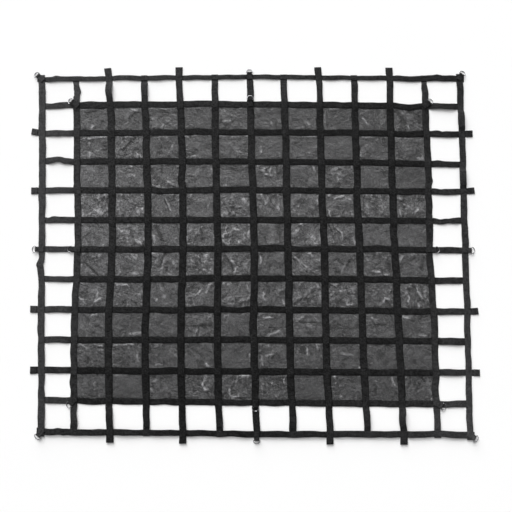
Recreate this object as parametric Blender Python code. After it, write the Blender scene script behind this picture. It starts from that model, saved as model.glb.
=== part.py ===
"""Cargo net, 8 ft by 6 ft 9 in: a grid of sewn webbing straps with a fine mesh panel under the
inner hundred cells, strap-end tabs round the border and sixteen D-rings on short webbing loops.

Metres, +X along the net's length, +Y across it, +Z up. The net lies flat on the plane z = 0.
A place in the net is given as (row, col): rows 0 to 12 count the horizontal straps from the far
edge to the near one, and cols 0 to 12 count the vertical straps from left to right.
"""

import math

import bpy
from mathutils import Matrix, Vector, noise

MM = 0.001

# The even grid the net was laid out on, before it was thrown down.
STRAPS_EACH_WAY = 13
LAST = STRAPS_EACH_WAY - 1
MIDDLE = LAST / 2
COL_PITCH = 203.2 * MM
ROW_PITCH = 171.5 * MM
MESH_FIRST = 1
MESH_LAST = 11
HALF_STEPS = [k / 2 for k in range(2 * LAST + 1)]

# Webbing.
WEB_THICK = 1.8 * MM
VERTICAL_WIDTH = 38.0 * MM
HORIZONTAL_WIDTH = 36.0 * MM
FAR_BORDER_WIDTH = 33.0 * MM
TAB_EXTRA_WIDTH = 2.0 * MM
PIECE_GAP = 0.35 * MM

# Plain strap ends, past the last crossing's middle.
PLAIN_REACH = 17.0 * MM
CORNER_REACH = 26.0 * MM

# Tabs: a strap end carried past the border and folded back on itself.
TAB_STRAPS = (2, 4, 8, 10)
TAB_REACH = 61.0 * MM
NEAR_TAB_REACH = 53.0 * MM
TAB_RETURN = 27.0 * MM
TAB_LAYER_GAP = 0.4 * MM
TAB_TURN_STEPS = 4

# Mesh sheet.
MESH_THICK = 1.0 * MM
MESH_HEM = 13.0 * MM
STRAP_EDGE_COLS = 24.0 * MM / COL_PITCH
STRAP_EDGE_ROWS = 24.0 * MM / ROW_PITCH
MESH_INNER_COLS = (0.36, 0.64)
MESH_INNER_ROWS = (0.5,)
PUCKER_MEAN = 2.0 * MM
PUCKER_SWING = 2.3 * MM
PUCKER_SPAN = 0.35
PUCKER_SLICE = 0.37
FLAT_CELL = (6, 6)

# Heights of the underside of each strap, by what lies under it there.
HORIZONTAL_ON_MESH = MESH_THICK + PIECE_GAP
HORIZONTAL_AT_MESH_EDGE = 1.6 * MM
VERTICAL_OVER_OPEN = 2.85 * MM
VERTICAL_OVER_MESH = 4.3 * MM
VERTICAL_AT_MESH_EDGE = 4.9 * MM
HORIZONTAL_OVER_ENDS = 2.85 * MM

# D-rings and the loops that hold them.
WIRE_RADIUS = 2.0 * MM
WIRE_SIDES = 6
RING_HALF_WIDTH = 18.0 * MM
RING_CORNER = 4.5 * MM
RING_SHOULDER = 5.0 * MM
RING_ARC_STEPS = 7
LOOP_WIDTH = 29.0 * MM
LOOP_THICK = 1.5 * MM
LOOP_LAYER_GAP = 0.4 * MM
LOOP_INNER_RADIUS = 2.45 * MM
LOOP_WRAP_STEPS = 6
LOOP_TAIL = 15.0 * MM
LOOP_SPREAD = 10.0 * MM

# How far each strap lies from its place on the even grid, in mm, read at five stations.
# Vertical straps: to the right, at rows 0, 3, 6, 9 and 12.
VERTICAL_SHIFT = (
    (-23, -5, 6, 20, 36),
    (-27, -8, 8, -1, 14),
    (-38, -13, -2, -11, 7),
    (-39, -14, 0, -8, 8),
    (-37, -14, -5, -11, 5),
    (-34, -25, -11, -11, 5),
    (-34, -20, -7, -9, 6),
    (-40, -26, -18, -12, 5),
    (-39, -28, -16, -11, 5),
    (-35, -29, -19, -8, 9),
    (-33, -31, -22, -9, 6),
    (-37, -26, -26, -12, -11),
    (-33, -29, -30, -30, -36),
)
# Horizontal straps: away from the near edge, at cols 0, 3, 6, 9 and 12.
HORIZONTAL_SHIFT = (
    (-26, -18, -12, -17, -20),
    (-12, -4, -3, -8, -15),
    (-4, 1, 3, -1, -9),
    (3, 2, 3, -3, -15),
    (6, 7, 9, 1, -2),
    (6, 6, 6, 4, 0),
    (9, 10, 13, 10, 3),
    (13, 11, 16, 10, 1),
    (12, 10, 11, 6, -1),
    (14, 13, 14, 9, 5),
    (18, 13, 10, 5, 3),
    (24, 16, 11, 6, 2),
    (24, 17, 10, 10, 6),
)
STATION_STEP = 3

# Local kinks: strap, half-cell station, sideways mm.
VERTICAL_KINKS = ((0, 6.5, -6), (1, 0.5, 8), (2, 5.5, 3), (8, 0.5, 3), (11, 3.5, 3), (12, 1.5, 3))
HORIZONTAL_KINKS = (
    (0, 11.5, 4),
    (1, 10.5, -7),
    (2, 4.5, 8),
    (3, 0.5, 7),
    (6, 6.5, 4),
    (6, 9.5, 4),
    (9, 10.5, 3),
)

# Where a strap lies a little on edge or spread: strap, station, half length in cells, mm wider.
VERTICAL_WIDTHS = ((12, 10.5, 3.0, -4), (0, 6.5, 2.0, -2), (8, 0.5, 0.6, -3), (11, 11.5, 0.6, -3))
HORIZONTAL_WIDTHS = (
    (0, 6.0, 3.0, -4),
    (0, 11.5, 1.5, 4),
    (5, 11.5, 1.0, -4),
    (6, 0.5, 1.0, -4),
    (7, 0.5, 0.7, -4),
    (9, 11.5, 1.0, 4),
)

# Tabs that lie askew: strap, which end (0 the first, 1 the last), degrees turned to the left.
VERTICAL_TAB_TURNS = ((2, 0, 4), (8, 0, 2), (8, 1, 2))
HORIZONTAL_TAB_TURNS = ((2, 0, -11), (4, 1, 2), (8, 1, 7))

# D-rings: name, row, col, heading in degrees, bar distance in mm from the crossing, and droop
# in degrees from the bar down to the round of the ring.
RINGS = (
    ("outer_far_left", 0, 0, 137, 32, 17),
    ("outer_far", 0, 6, 93, 25, 17),
    ("outer_far_right", 0, 12, 60, 26, 17),
    ("outer_left", 6, 0, 180, 32, 17),
    ("outer_right", 6, 12, 0, 32, 17),
    ("outer_near_left", 12, 0, 234, 27, 17),
    ("outer_near", 12, 6, 270, 31, 17),
    ("outer_near_right", 12, 12, 328, 31, 17),
    ("inner_far_left", 1, 1, 143, 34, 22),
    ("inner_far", 1, 6, 92, 27, 10),
    ("inner_far_right", 1, 11, 40, 31, 22),
    ("inner_left", 6, 1, 180, 35, 13),
    ("inner_right", 6, 11, 0, 30, 13),
    ("inner_near_left", 11, 1, 222, 26, 15),
    ("inner_near", 11, 6, 268, 25, 10),
    ("inner_near_right", 11, 11, 337, 31, 13),
)


def between(row, station):
    """A smooth curve through a table row's five values, read at a row or column number."""
    along = min(max(station / STATION_STEP, 0.0), len(row) - 1.000001)
    k = int(along)
    t = along - k
    a, b = row[k], row[k + 1]
    before = row[k - 1] if k > 0 else 2 * a - b
    after = row[k + 2] if k + 2 < len(row) else 2 * b - a
    slope_a = (b - before) / 2
    slope_b = (after - a) / 2
    ease_in = t * t * (3 - 2 * t)
    lean_a = slope_a * t * (1 - t) * (1 - t)
    lean_b = slope_b * t * t * (1 - t)
    return a + (b - a) * ease_in + lean_a - lean_b


def kink(kinks, strap, station):
    """The local sideways kink of one strap: full at its station, gone half a cell away."""
    total = 0.0
    for which, place, amount in kinks:
        if which == strap:
            total += amount * max(0.0, 1 - abs(station - place) / 0.5)
    return total


def width_change(changes, strap, station):
    """How much wider a strap shows at a station, easing in and out along its half length."""
    total = 0.0
    for which, place, half_length, amount in changes:
        away = abs(station - place) / half_length
        if which == strap and away < 1:
            total += amount * (1 - away * away)
    return total * MM


def vertical_x(col, row):
    shift = between(VERTICAL_SHIFT[col], row) + kink(VERTICAL_KINKS, col, row)
    return (col - MIDDLE) * COL_PITCH + shift * MM


def horizontal_y(row, col):
    shift = between(HORIZONTAL_SHIFT[row], col) + kink(HORIZONTAL_KINKS, row, col)
    return (MIDDLE - row) * ROW_PITCH + shift * MM


def mixed(along, value_at):
    """value_at(whole number) carried straight between its neighbours and past the last one."""
    k = min(max(math.floor(along), 0), LAST - 1)
    a, b = value_at(k), value_at(k + 1)
    return a + (b - a) * (along - k)


def place(row, col):
    """The point of the laid net at (row, col), with the straps' wandering in it."""
    x = mixed(col, lambda k: vertical_x(k, row))
    y = mixed(row, lambda k: horizontal_y(k, col))
    return Vector((x, y, 0.0))


def goes_under_border(col):
    """A vertical strap with no tab and no ring ends under the far and near border straps."""
    return col % 2 == 1


def horizontal_height(row, col):
    """The underside of a horizontal strap at a half-cell station."""
    if row in (0, LAST):
        crossing = col == int(col) and goes_under_border(int(col))
        return HORIZONTAL_OVER_ENDS if crossing else 0.0
    if MESH_FIRST < col < MESH_LAST:
        return HORIZONTAL_ON_MESH
    if col in (MESH_FIRST, MESH_LAST):
        return HORIZONTAL_AT_MESH_EDGE
    return 0.0


def vertical_height(col, row):
    """The underside of a vertical strap at a half-cell station."""
    on_crossing = row == int(row)
    over_mesh = MESH_FIRST <= col <= MESH_LAST and MESH_FIRST <= row <= MESH_LAST
    if not on_crossing:
        return HORIZONTAL_ON_MESH if over_mesh else 0.0
    if over_mesh:
        at_edge = col in (MESH_FIRST, MESH_LAST) or row in (MESH_FIRST, MESH_LAST)
        return VERTICAL_AT_MESH_EDGE if at_edge else VERTICAL_OVER_MESH
    if row in (0, LAST) and goes_under_border(col):
        return 0.0
    return VERTICAL_OVER_OPEN


def tab_turn(end, outward, low, high):
    """The half turn at a tab's end: points on the webbing's middle, and the normal at each."""
    middle = (low + high) / 2
    radius = abs(high - low) / 2
    rise = 1 if high > low else -1
    turn = []
    for step in range(1, TAB_TURN_STEPS):
        angle = math.pi * step / TAB_TURN_STEPS
        out = math.sin(angle) * radius
        up = -math.cos(angle) * radius * rise
        point = end + outward * out + Vector((0, 0, middle + up))
        normal = (outward * out + Vector((0, 0, up))).normalized()
        turn.append((point, normal * -rise))
    return turn


def tab_path(crossing, outward, reach, folds_up):
    """The folded tab past a border crossing, as (point, normal, width added) from the net out.
    The fold goes up and back over the strap, or down and back under it."""
    half = WEB_THICK / 2
    lower = half
    upper = half + WEB_THICK + TAB_LAYER_GAP
    out_level, back_level = (lower, upper) if folds_up else (upper, lower)
    up = Vector((0, 0, 1))
    run = reach - TAB_RETURN
    start = crossing + outward * TAB_RETURN
    end = crossing + outward * reach
    path = [
        (start + up * out_level, up, TAB_EXTRA_WIDTH / 2),
        (start + outward * run / 2 + up * out_level, up, TAB_EXTRA_WIDTH),
        (end + up * out_level, up, TAB_EXTRA_WIDTH),
    ]
    for point, normal in tab_turn(end, outward, out_level, back_level):
        path.append((point, normal, TAB_EXTRA_WIDTH))
    path.append((end + up * back_level, -up, TAB_EXTRA_WIDTH))
    path.append((start + up * back_level, -up, TAB_EXTRA_WIDTH))
    return path


def mesh_object(name, points, faces, material):
    """A new object of these points and faces, linked to the scene."""
    mesh = bpy.data.meshes.new(name)
    mesh.from_pydata([tuple(p) for p in points], [], faces)
    mesh.materials.append(material)
    mesh.update()
    made = bpy.data.objects.new(name, mesh)
    bpy.context.scene.collection.objects.link(made)
    return made


def strip_object(name, stations, thick, material):
    """A closed strip of webbing through stations of (middle point, normal, sideways, width)."""
    points = []
    for middle, normal, sideways, width in stations:
        half_w = sideways * (width / 2)
        half_t = normal * (thick / 2)
        points += [
            middle - half_w - half_t,
            middle + half_w - half_t,
            middle + half_w + half_t,
            middle - half_w + half_t,
        ]
    faces = [(0, 1, 2, 3)]
    for k in range(len(stations) - 1):
        a, b = 4 * k, 4 * k + 4
        for side in range(4):
            after = (side + 1) % 4
            faces.append((a + side, b + side, b + after, a + after))
    last = 4 * (len(stations) - 1)
    faces.append((last + 3, last + 2, last + 1, last))
    return mesh_object(name, points, faces, material)


def strap_stations(centres, widths):
    """Level stations along a strap from its (point, underside height) list."""
    up = Vector((0, 0, 1))
    stations = []
    for k, (point, height) in enumerate(centres):
        before = centres[max(k - 1, 0)][0]
        after = centres[min(k + 1, len(centres) - 1)][0]
        along = (after - before).normalized()
        sideways = along.cross(up)
        middle = point + up * (height + WEB_THICK / 2)
        stations.append((middle, up, sideways, widths[k]))
    return stations


def end_stations(path, sideways, width):
    return [(point, normal, sideways, width + extra) for point, normal, extra in path]


def make_strap(name, centres, widths, ends, material):
    """A strap through its centres. ends holds, for the first and the last centre, a
    tuple (kind, reach, folds_up, turn) with kind tab or plain and turn in degrees."""
    stations = strap_stations(centres, widths)
    up = Vector((0, 0, 1))
    for first in (True, False):
        kind, reach, folds_up, turn = ends[0 if first else 1]
        edge, inner = (centres[0], centres[1]) if first else (centres[-1], centres[-2])
        width = widths[0 if first else -1]
        swing = Matrix.Rotation(math.radians(turn), 3, "Z")
        outward = swing @ (edge[0] - inner[0]).normalized()
        sideways = swing @ (stations[0][2] if first else stations[-1][2])
        if kind == "tab":
            path = tab_path(edge[0], outward, reach, folds_up)
            added = end_stations(path, sideways, width)
        else:
            middle = edge[0] + outward * reach + up * (edge[1] + WEB_THICK / 2)
            added = [(middle, up, sideways, width)]
        if first:
            added.reverse()
            stations = added + stations
        else:
            stations = stations + added
    return strip_object(name, stations, WEB_THICK, material)


def strap_ends(number, tab_turns):
    """What the two ends of strap number do: fold into tabs, poke past a corner or just stop."""
    if number in TAB_STRAPS:
        folds_up = tab_turns is HORIZONTAL_TAB_TURNS
        turns = {end: degrees for strap, end, degrees in tab_turns if strap == number}
        last_reach = TAB_REACH if folds_up else NEAR_TAB_REACH
        return [
            ("tab", TAB_REACH, folds_up, turns.get(0, 0)),
            ("tab", last_reach, folds_up, turns.get(1, 0)),
        ]
    reach = CORNER_REACH if number in (0, LAST) else PLAIN_REACH
    return [("plain", reach, False, 0)] * 2


def vertical_strap(col, material):
    centres = [(place(row, col), vertical_height(col, row)) for row in HALF_STEPS]
    widths = [VERTICAL_WIDTH + width_change(VERTICAL_WIDTHS, col, row) for row in HALF_STEPS]
    ends = strap_ends(col, VERTICAL_TAB_TURNS)
    return make_strap(f"strap_v{col:02d}", centres, widths, ends, material)


def horizontal_strap(row, material):
    centres = [(place(row, col), horizontal_height(row, col)) for col in HALF_STEPS]
    usual = FAR_BORDER_WIDTH if row == 0 else HORIZONTAL_WIDTH
    widths = [usual + width_change(HORIZONTAL_WIDTHS, row, col) for col in HALF_STEPS]
    ends = strap_ends(row, HORIZONTAL_TAB_TURNS)
    return make_strap(f"strap_h{row:02d}", centres, widths, ends, material)


def mesh_lines(edge, inner_places):
    """Line places across the mesh: both edges of every strap, and places inside each cell."""
    lines = []
    for cell in range(MESH_FIRST, MESH_LAST):
        lines.append(cell + edge)
        lines += [cell + inside for inside in inner_places]
        lines.append(cell + 1 - edge)
    return lines


def pucker_height(row, col):
    """How far the mesh stands off the floor at a place inside a cell."""
    flat_row, flat_col = FLAT_CELL
    if int(row) == flat_row and int(col) == flat_col:
        return 0.0
    wave = noise.noise(Vector((row / PUCKER_SPAN, col / PUCKER_SPAN, PUCKER_SLICE)))
    return PUCKER_MEAN + PUCKER_SWING * wave


def mesh_panel(material):
    """The sheet under the inner cells: flat under every strap, puckered up inside each cell."""
    hem_col = MESH_HEM / COL_PITCH
    hem_row = MESH_HEM / ROW_PITCH
    cols = [MESH_FIRST - hem_col] + mesh_lines(STRAP_EDGE_COLS, MESH_INNER_COLS)
    cols.append(MESH_LAST + hem_col)
    rows = [MESH_FIRST - hem_row] + mesh_lines(STRAP_EDGE_ROWS, MESH_INNER_ROWS)
    rows.append(MESH_LAST + hem_row)
    under, over = [], []
    for row in rows:
        for col in cols:
            inside = round(row % 1, 4) in MESH_INNER_ROWS and round(col % 1, 4) in MESH_INNER_COLS
            low = pucker_height(row, col) if inside else 0.0
            spot = place(row, col)
            under.append(spot + Vector((0, 0, low)))
            over.append(spot + Vector((0, 0, low + MESH_THICK)))
    wide = len(cols)
    tall = len(rows)
    count = wide * tall
    faces = []
    for r in range(tall - 1):
        for c in range(wide - 1):
            a = r * wide + c
            b, d, e = a + 1, a + wide, a + wide + 1
            faces.append((a, b, e))
            faces.append((a, e, d))
            faces.append((count + a, count + e, count + b))
            faces.append((count + a, count + d, count + e))
    rim = list(range(wide))
    rim += [r * wide + wide - 1 for r in range(1, tall)]
    rim += [(tall - 1) * wide + c for c in range(wide - 2, -1, -1)]
    rim += [r * wide for r in range(tall - 2, 0, -1)]
    for k, a in enumerate(rim):
        b = rim[(k + 1) % len(rim)]
        faces.append((a, count + a, count + b, b))
    return mesh_object("mesh_panel", under + over, faces, material)


def ring_outline():
    """The D-ring's wire line in its own plane, as (sideways, outward), bar at outward 0."""
    flat = RING_HALF_WIDTH - RING_CORNER
    line = [(-flat, 0.0), (flat, 0.0)]
    turn = RING_CORNER * (1 - math.sqrt(0.5))
    line.append((RING_HALF_WIDTH - turn, turn))
    for step in range(RING_ARC_STEPS + 1):
        angle = math.pi * step / RING_ARC_STEPS
        side = RING_HALF_WIDTH * math.cos(angle)
        line.append((side, RING_SHOULDER + RING_HALF_WIDTH * math.sin(angle)))
    line.append((-RING_HALF_WIDTH + turn, turn))
    return line


def heading_frame(row, col, heading):
    """A crossing's middle, and the level directions out along a heading and across it."""
    angle = math.radians(heading)
    outward = Vector((math.cos(angle), math.sin(angle), 0))
    sideways = outward.cross(Vector((0, 0, 1)))
    return place(row, col), outward, sideways


def loop_base(row, col):
    """The underside of a loop that lies on top of the straps at a crossing."""
    return vertical_height(col, row) + WEB_THICK + PIECE_GAP


def bar_height(row, col):
    return loop_base(row, col) + LOOP_THICK + LOOP_INNER_RADIUS


def make_ring(name, row, col, heading, bar_mm, droop, material):
    """A D-ring of round wire, its bar in the loop and its round drooping towards the floor."""
    spot, outward, sideways = heading_frame(row, col, heading)
    tilt = math.radians(droop)
    out_in_plane = outward * math.cos(tilt) - Vector((0, 0, math.sin(tilt)))
    normal = sideways.cross(out_in_plane)
    bar = spot + outward * bar_mm * MM + Vector((0, 0, bar_height(row, col)))
    line = ring_outline()
    points = []
    for k, (side, out) in enumerate(line):
        before = line[k - 1]
        after = line[(k + 1) % len(line)]
        into = Vector((side - before[0], out - before[1])).normalized()
        onto = Vector((after[0] - side, after[1] - out)).normalized()
        along = (into + onto).normalized()
        stretch = 1 / into.dot(along)
        across = sideways * along.y - out_in_plane * along.x
        middle = bar + sideways * side + out_in_plane * out
        for step in range(WIRE_SIDES):
            angle = 2 * math.pi * (step + 0.5) / WIRE_SIDES
            reach = across * math.cos(angle) * stretch + normal * math.sin(angle)
            points.append(middle + reach * WIRE_RADIUS)
    faces = []
    for k in range(len(line)):
        a, b = k * WIRE_SIDES, ((k + 1) % len(line)) * WIRE_SIDES
        for step in range(WIRE_SIDES):
            after = (step + 1) % WIRE_SIDES
            faces.append((a + step, b + step, b + after, a + after))
    ring = mesh_object(f"ring_{name}", points, faces, material)
    ring.data.shade_smooth()
    return ring


def make_loop(name, row, col, heading, bar_mm, material):
    """Two layers sewn on the crossing: the lower one runs flat out under the ring's bar, and
    the upper one comes round the bar and down onto it."""
    spot, outward, sideways = heading_frame(row, col, heading)
    up = Vector((0, 0, 1))
    low = loop_base(row, col) + LOOP_THICK / 2
    high = low + LOOP_THICK + LOOP_LAYER_GAP
    middle = bar_height(row, col)
    bar = bar_mm * MM
    radius = LOOP_INNER_RADIUS + LOOP_THICK / 2
    lower = [(-LOOP_TAIL, low, up)]
    upper = [(bar - LOOP_SPREAD, high, -up), (-LOOP_TAIL, high, -up)]
    wrap = []
    for step in range(LOOP_WRAP_STEPS + 1):
        angle = math.pi * (step / LOOP_WRAP_STEPS - 0.5)
        inward = outward * -math.cos(angle) - up * math.sin(angle)
        out = bar + radius * math.cos(angle)
        wrap.append((out, middle + radius * math.sin(angle), inward))
    stations = []
    for out, height, normal in lower + wrap + upper:
        stations.append((spot + outward * out + up * height, normal, sideways, LOOP_WIDTH))
    return strip_object(f"loop_{name}", stations, LOOP_THICK, material)


def principled(name, colour, roughness, metallic):
    material = bpy.data.materials.new(name)
    material.use_nodes = True
    shader = material.node_tree.nodes["Principled BSDF"]
    shader.inputs["Base Color"].default_value = (*colour, 1.0)
    shader.inputs["Roughness"].default_value = roughness
    shader.inputs["Metallic"].default_value = metallic
    return material


def centre_on_origin(objects):
    """Moves every mesh so that the box round them all stands centred on the origin."""
    spots = [vertex.co for made in objects for vertex in made.data.vertices]
    middle_x = (min(s.x for s in spots) + max(s.x for s in spots)) / 2
    middle_y = (min(s.y for s in spots) + max(s.y for s in spots)) / 2
    for made in objects:
        for vertex in made.data.vertices:
            vertex.co.x -= middle_x
            vertex.co.y -= middle_y
        made.data.update()


def build():
    for found in list(bpy.data.objects):
        bpy.data.objects.remove(found)
    webbing = principled("webbing", (0.022, 0.022, 0.024), 0.8, 0.0)
    mesh_cloth = principled("mesh_cloth", (0.09, 0.09, 0.095), 0.5, 0.0)
    ring_steel = principled("ring_steel", (0.6, 0.6, 0.62), 0.28, 1.0)
    made = [mesh_panel(mesh_cloth)]
    for number in range(STRAPS_EACH_WAY):
        made.append(horizontal_strap(number, webbing))
        made.append(vertical_strap(number, webbing))
    for name, row, col, heading, bar_mm, droop in RINGS:
        made.append(make_ring(name, row, col, heading, bar_mm, droop, ring_steel))
        made.append(make_loop(name, row, col, heading, bar_mm, webbing))
    centre_on_origin(made)


build()
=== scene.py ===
"""Cargo net, dressed for looking at: fine webbing straps with sewn crossings and folded tabs, a
creased mesh panel, cloth loops and steel D-rings, each standing for its solid in the frame.

Metres, +X along the net, +Y across it towards the far edge, +Z up. As in the solids, a place in
the net is (row, col): rows 0 to 12 count the horizontal straps from the far edge to the near one,
and cols 0 to 12 count the vertical straps from left to right.
"""

import math
from collections import namedtuple

import bpy
from mathutils import Matrix, Vector, noise


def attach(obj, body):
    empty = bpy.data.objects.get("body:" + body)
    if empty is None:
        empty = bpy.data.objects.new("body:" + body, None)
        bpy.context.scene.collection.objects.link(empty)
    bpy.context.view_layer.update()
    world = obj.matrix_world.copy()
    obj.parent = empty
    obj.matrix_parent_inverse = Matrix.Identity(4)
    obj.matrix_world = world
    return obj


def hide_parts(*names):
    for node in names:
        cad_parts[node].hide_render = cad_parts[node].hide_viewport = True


MM = 0.001
UP = Vector((0, 0, 1))
BODY = "root"

# ---------------------------------------------------------------------------------------------
# Sizes shared with the solids.

STRAPS_EACH_WAY = 13
LAST = STRAPS_EACH_WAY - 1
MIDDLE = LAST / 2
COL_PITCH = 203.2 * MM
ROW_PITCH = 171.5 * MM
MESH_FIRST = 1
MESH_LAST = 11
GRID_MIDDLE = Vector((20.39, -1.43, 0)) * MM

WEB_THICK = 1.8 * MM
VERTICAL_WIDTH = 38.0 * MM
HORIZONTAL_WIDTH = 36.0 * MM
FAR_BORDER_WIDTH = 33.0 * MM
TAB_EXTRA_WIDTH = 2.0 * MM
PIECE_GAP = 0.35 * MM

PLAIN_REACH = 17.0 * MM
CORNER_REACH = 26.0 * MM
TAB_STRAPS = (2, 4, 8, 10)
TAB_REACH = 61.0 * MM
NEAR_TAB_REACH = 53.0 * MM
TAB_RETURN = 27.0 * MM
TAB_LAYER_GAP = 0.4 * MM

MESH_THICK = 1.0 * MM
MESH_HEM = 13.0 * MM

HORIZONTAL_ON_MESH = MESH_THICK + PIECE_GAP
HORIZONTAL_AT_MESH_EDGE = 1.6 * MM
VERTICAL_OVER_OPEN = 2.85 * MM
VERTICAL_OVER_MESH = 4.3 * MM
VERTICAL_AT_MESH_EDGE = 4.9 * MM
HORIZONTAL_OVER_ENDS = 2.85 * MM

WIRE_RADIUS = 2.0 * MM
RING_HALF_WIDTH = 18.0 * MM
RING_CORNER = 4.5 * MM
RING_SHOULDER = 5.0 * MM
LOOP_WIDTH = 29.0 * MM
LOOP_THICK = 1.5 * MM
LOOP_LAYER_GAP = 0.4 * MM
LOOP_INNER_RADIUS = 2.45 * MM
LOOP_TAIL = 15.0 * MM
LOOP_SPREAD = 10.0 * MM

# How far each strap lies from its place on the even grid, in mm, read at five stations.
# Vertical straps: to the right, at rows 0, 3, 6, 9 and 12.
VERTICAL_SHIFT = (
    (-23, -5, 6, 20, 36),
    (-27, -8, 8, -1, 14),
    (-38, -13, -2, -11, 7),
    (-39, -14, 0, -8, 8),
    (-37, -14, -5, -11, 5),
    (-34, -25, -11, -11, 5),
    (-34, -20, -7, -9, 6),
    (-40, -26, -18, -12, 5),
    (-39, -28, -16, -11, 5),
    (-35, -29, -19, -8, 9),
    (-33, -31, -22, -9, 6),
    (-37, -26, -26, -12, -11),
    (-33, -29, -30, -30, -36),
)
# Horizontal straps: away from the near edge, at cols 0, 3, 6, 9 and 12.
HORIZONTAL_SHIFT = (
    (-26, -18, -12, -17, -20),
    (-12, -4, -3, -8, -15),
    (-4, 1, 3, -1, -9),
    (3, 2, 3, -3, -15),
    (6, 7, 9, 1, -2),
    (6, 6, 6, 4, 0),
    (9, 10, 13, 10, 3),
    (13, 11, 16, 10, 1),
    (12, 10, 11, 6, -1),
    (14, 13, 14, 9, 5),
    (18, 13, 10, 5, 3),
    (24, 16, 11, 6, 2),
    (24, 17, 10, 10, 6),
)
STATION_STEP = 3

# Local kinks: strap, half-cell station, sideways mm. Each is gone this many cells away.
KINK_REACH = 0.5
VERTICAL_KINKS = ((0, 6.5, -6), (1, 0.5, 8), (2, 5.5, 3), (8, 0.5, 3), (11, 3.5, 3), (12, 1.5, 3))
HORIZONTAL_KINKS = (
    (0, 11.5, 4),
    (1, 10.5, -7),
    (2, 4.5, 8),
    (3, 0.5, 7),
    (6, 6.5, 4),
    (6, 9.5, 4),
    (9, 10.5, 3),
)

# Tabs that lie askew: strap, which end (0 the first, 1 the last), degrees turned to the left.
VERTICAL_TAB_TURNS = ((2, 0, 4), (8, 0, 2), (8, 1, 2))
HORIZONTAL_TAB_TURNS = ((2, 0, -11), (4, 1, 6), (8, 1, 7))

# D-rings: name, row, col, heading in degrees, bar distance in mm from the crossing, and droop
# in degrees from the bar down to the round of the ring.
Ring = namedtuple("Ring", "name row col heading bar_mm droop")
RINGS = (
    Ring("outer_far_left", 0, 0, 137, 32, 17),
    Ring("outer_far", 0, 6, 93, 25, 17),
    Ring("outer_far_right", 0, 12, 60, 26, 17),
    Ring("outer_left", 6, 0, 180, 32, 17),
    Ring("outer_right", 6, 12, 0, 32, 17),
    Ring("outer_near_left", 12, 0, 234, 27, 17),
    Ring("outer_near", 12, 6, 270, 31, 17),
    Ring("outer_near_right", 12, 12, 328, 31, 17),
    Ring("inner_far_left", 1, 1, 143, 34, 22),
    Ring("inner_far", 1, 6, 92, 27, 10),
    Ring("inner_far_right", 1, 11, 40, 31, 22),
    Ring("inner_left", 6, 1, 180, 35, 13),
    Ring("inner_right", 6, 11, 0, 30, 13),
    Ring("inner_near_left", 11, 1, 222, 26, 15),
    Ring("inner_near", 11, 6, 268, 25, 10),
    Ring("inner_near_right", 11, 11, 337, 31, 13),
)

# ---------------------------------------------------------------------------------------------
# Sizes of the looks.

# Webbing: how finely a strap is made, and how it lies flat over a crossing. AIM is how many
# cells ahead and behind its way is read.
STEPS_PER_CELL = 22
PATH_STEP = 6.0 * MM
AIM = 0.02
CROSSING_FLAT = 19.5 * MM
CROSSING_RAMP = 24.0 * MM
CROWN = 0.12 * MM
# The weave is laid as if every strap were this wide, so that it narrows and spreads with it.
FULL_WIDTH = 38.0 * MM
# How a strap strays along its way: how much, in m or degrees, over what span in m, and which
# line of the noise it draws.
WANDER = (1.5 * MM, 0.16, 0.5)
EDGE_WANDER = (3.4 * MM, 0.07, 16.5)
RIPPLE = (1.4 * MM, 0.07, 4.5)
SWELL = (2.3 * MM, 0.08, 8.5)
FINE_SWELL = (2.3 * MM, 0.05, 20.5)
ROLL = (3.0, 0.19, 12.5)
# Straps draw their noise this far apart, and the horizontal ones from a start of their own.
SEED_STEP = 3.7
HORIZONTAL_SEED = 61.3
# The inner vertical straps lie spread this much wider where they are sewn to the mesh.
MESH_SPREAD = 3.5 * MM
MESH_SPREAD_EASE = 0.3

# Straps that lie on edge: strap, station, half length in cells, degrees. A horizontal strap
# lifts its near edge, and a vertical strap its left one, or its right one below 0.
VERTICAL_ROLLS = (
    (2, 0.5, 0.6, -10),
    (3, 0.5, 0.6, -7),
    (9, 11.5, 0.6, -6),
    (10, 11.5, 0.6, -12),
    (12, 1.5, 0.7, -9),
    (12, 3.5, 0.7, -10),
)
HORIZONTAL_ROLLS = ((0, 6.0, 9.0, 2), (1, 11.5, 0.8, 6), (12, 6.0, 9.0, -4))
# The net is stiff enough to stand off the floor a little along its sides, and each free stretch
# of strap arches up between its crossings.
NEAR_STAND = 5.5 * MM
FAR_STAND = 0.8 * MM
SIDE_STAND = 1.0 * MM
STAND_EASE = 0.8
OPEN_ARCH = 3.0 * MM
# Straps that arch further: strap, station, half length in cells, mm.
VERTICAL_ARCHES = (
    (1, 11.5, 0.6, 3),
    (2, 0.5, 0.6, 10),
    (2, 11.5, 0.6, 5),
    (3, 0.5, 0.6, 6),
    (9, 11.5, 0.6, 5),
    (10, 11.5, 0.6, 8),
    (12, 1.5, 0.7, 8),
    (12, 3.5, 0.7, 9),
)
HORIZONTAL_ARCHES = (
    (2, 0.5, 0.6, 2),
    (3, 0.5, 0.6, 4),
    (1, 11.5, 0.6, 3),
    (9, 11.5, 0.6, 4),
    (10, 11.5, 0.6, 4),
    (12, 6.0, 12.0, 2),
)

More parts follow.
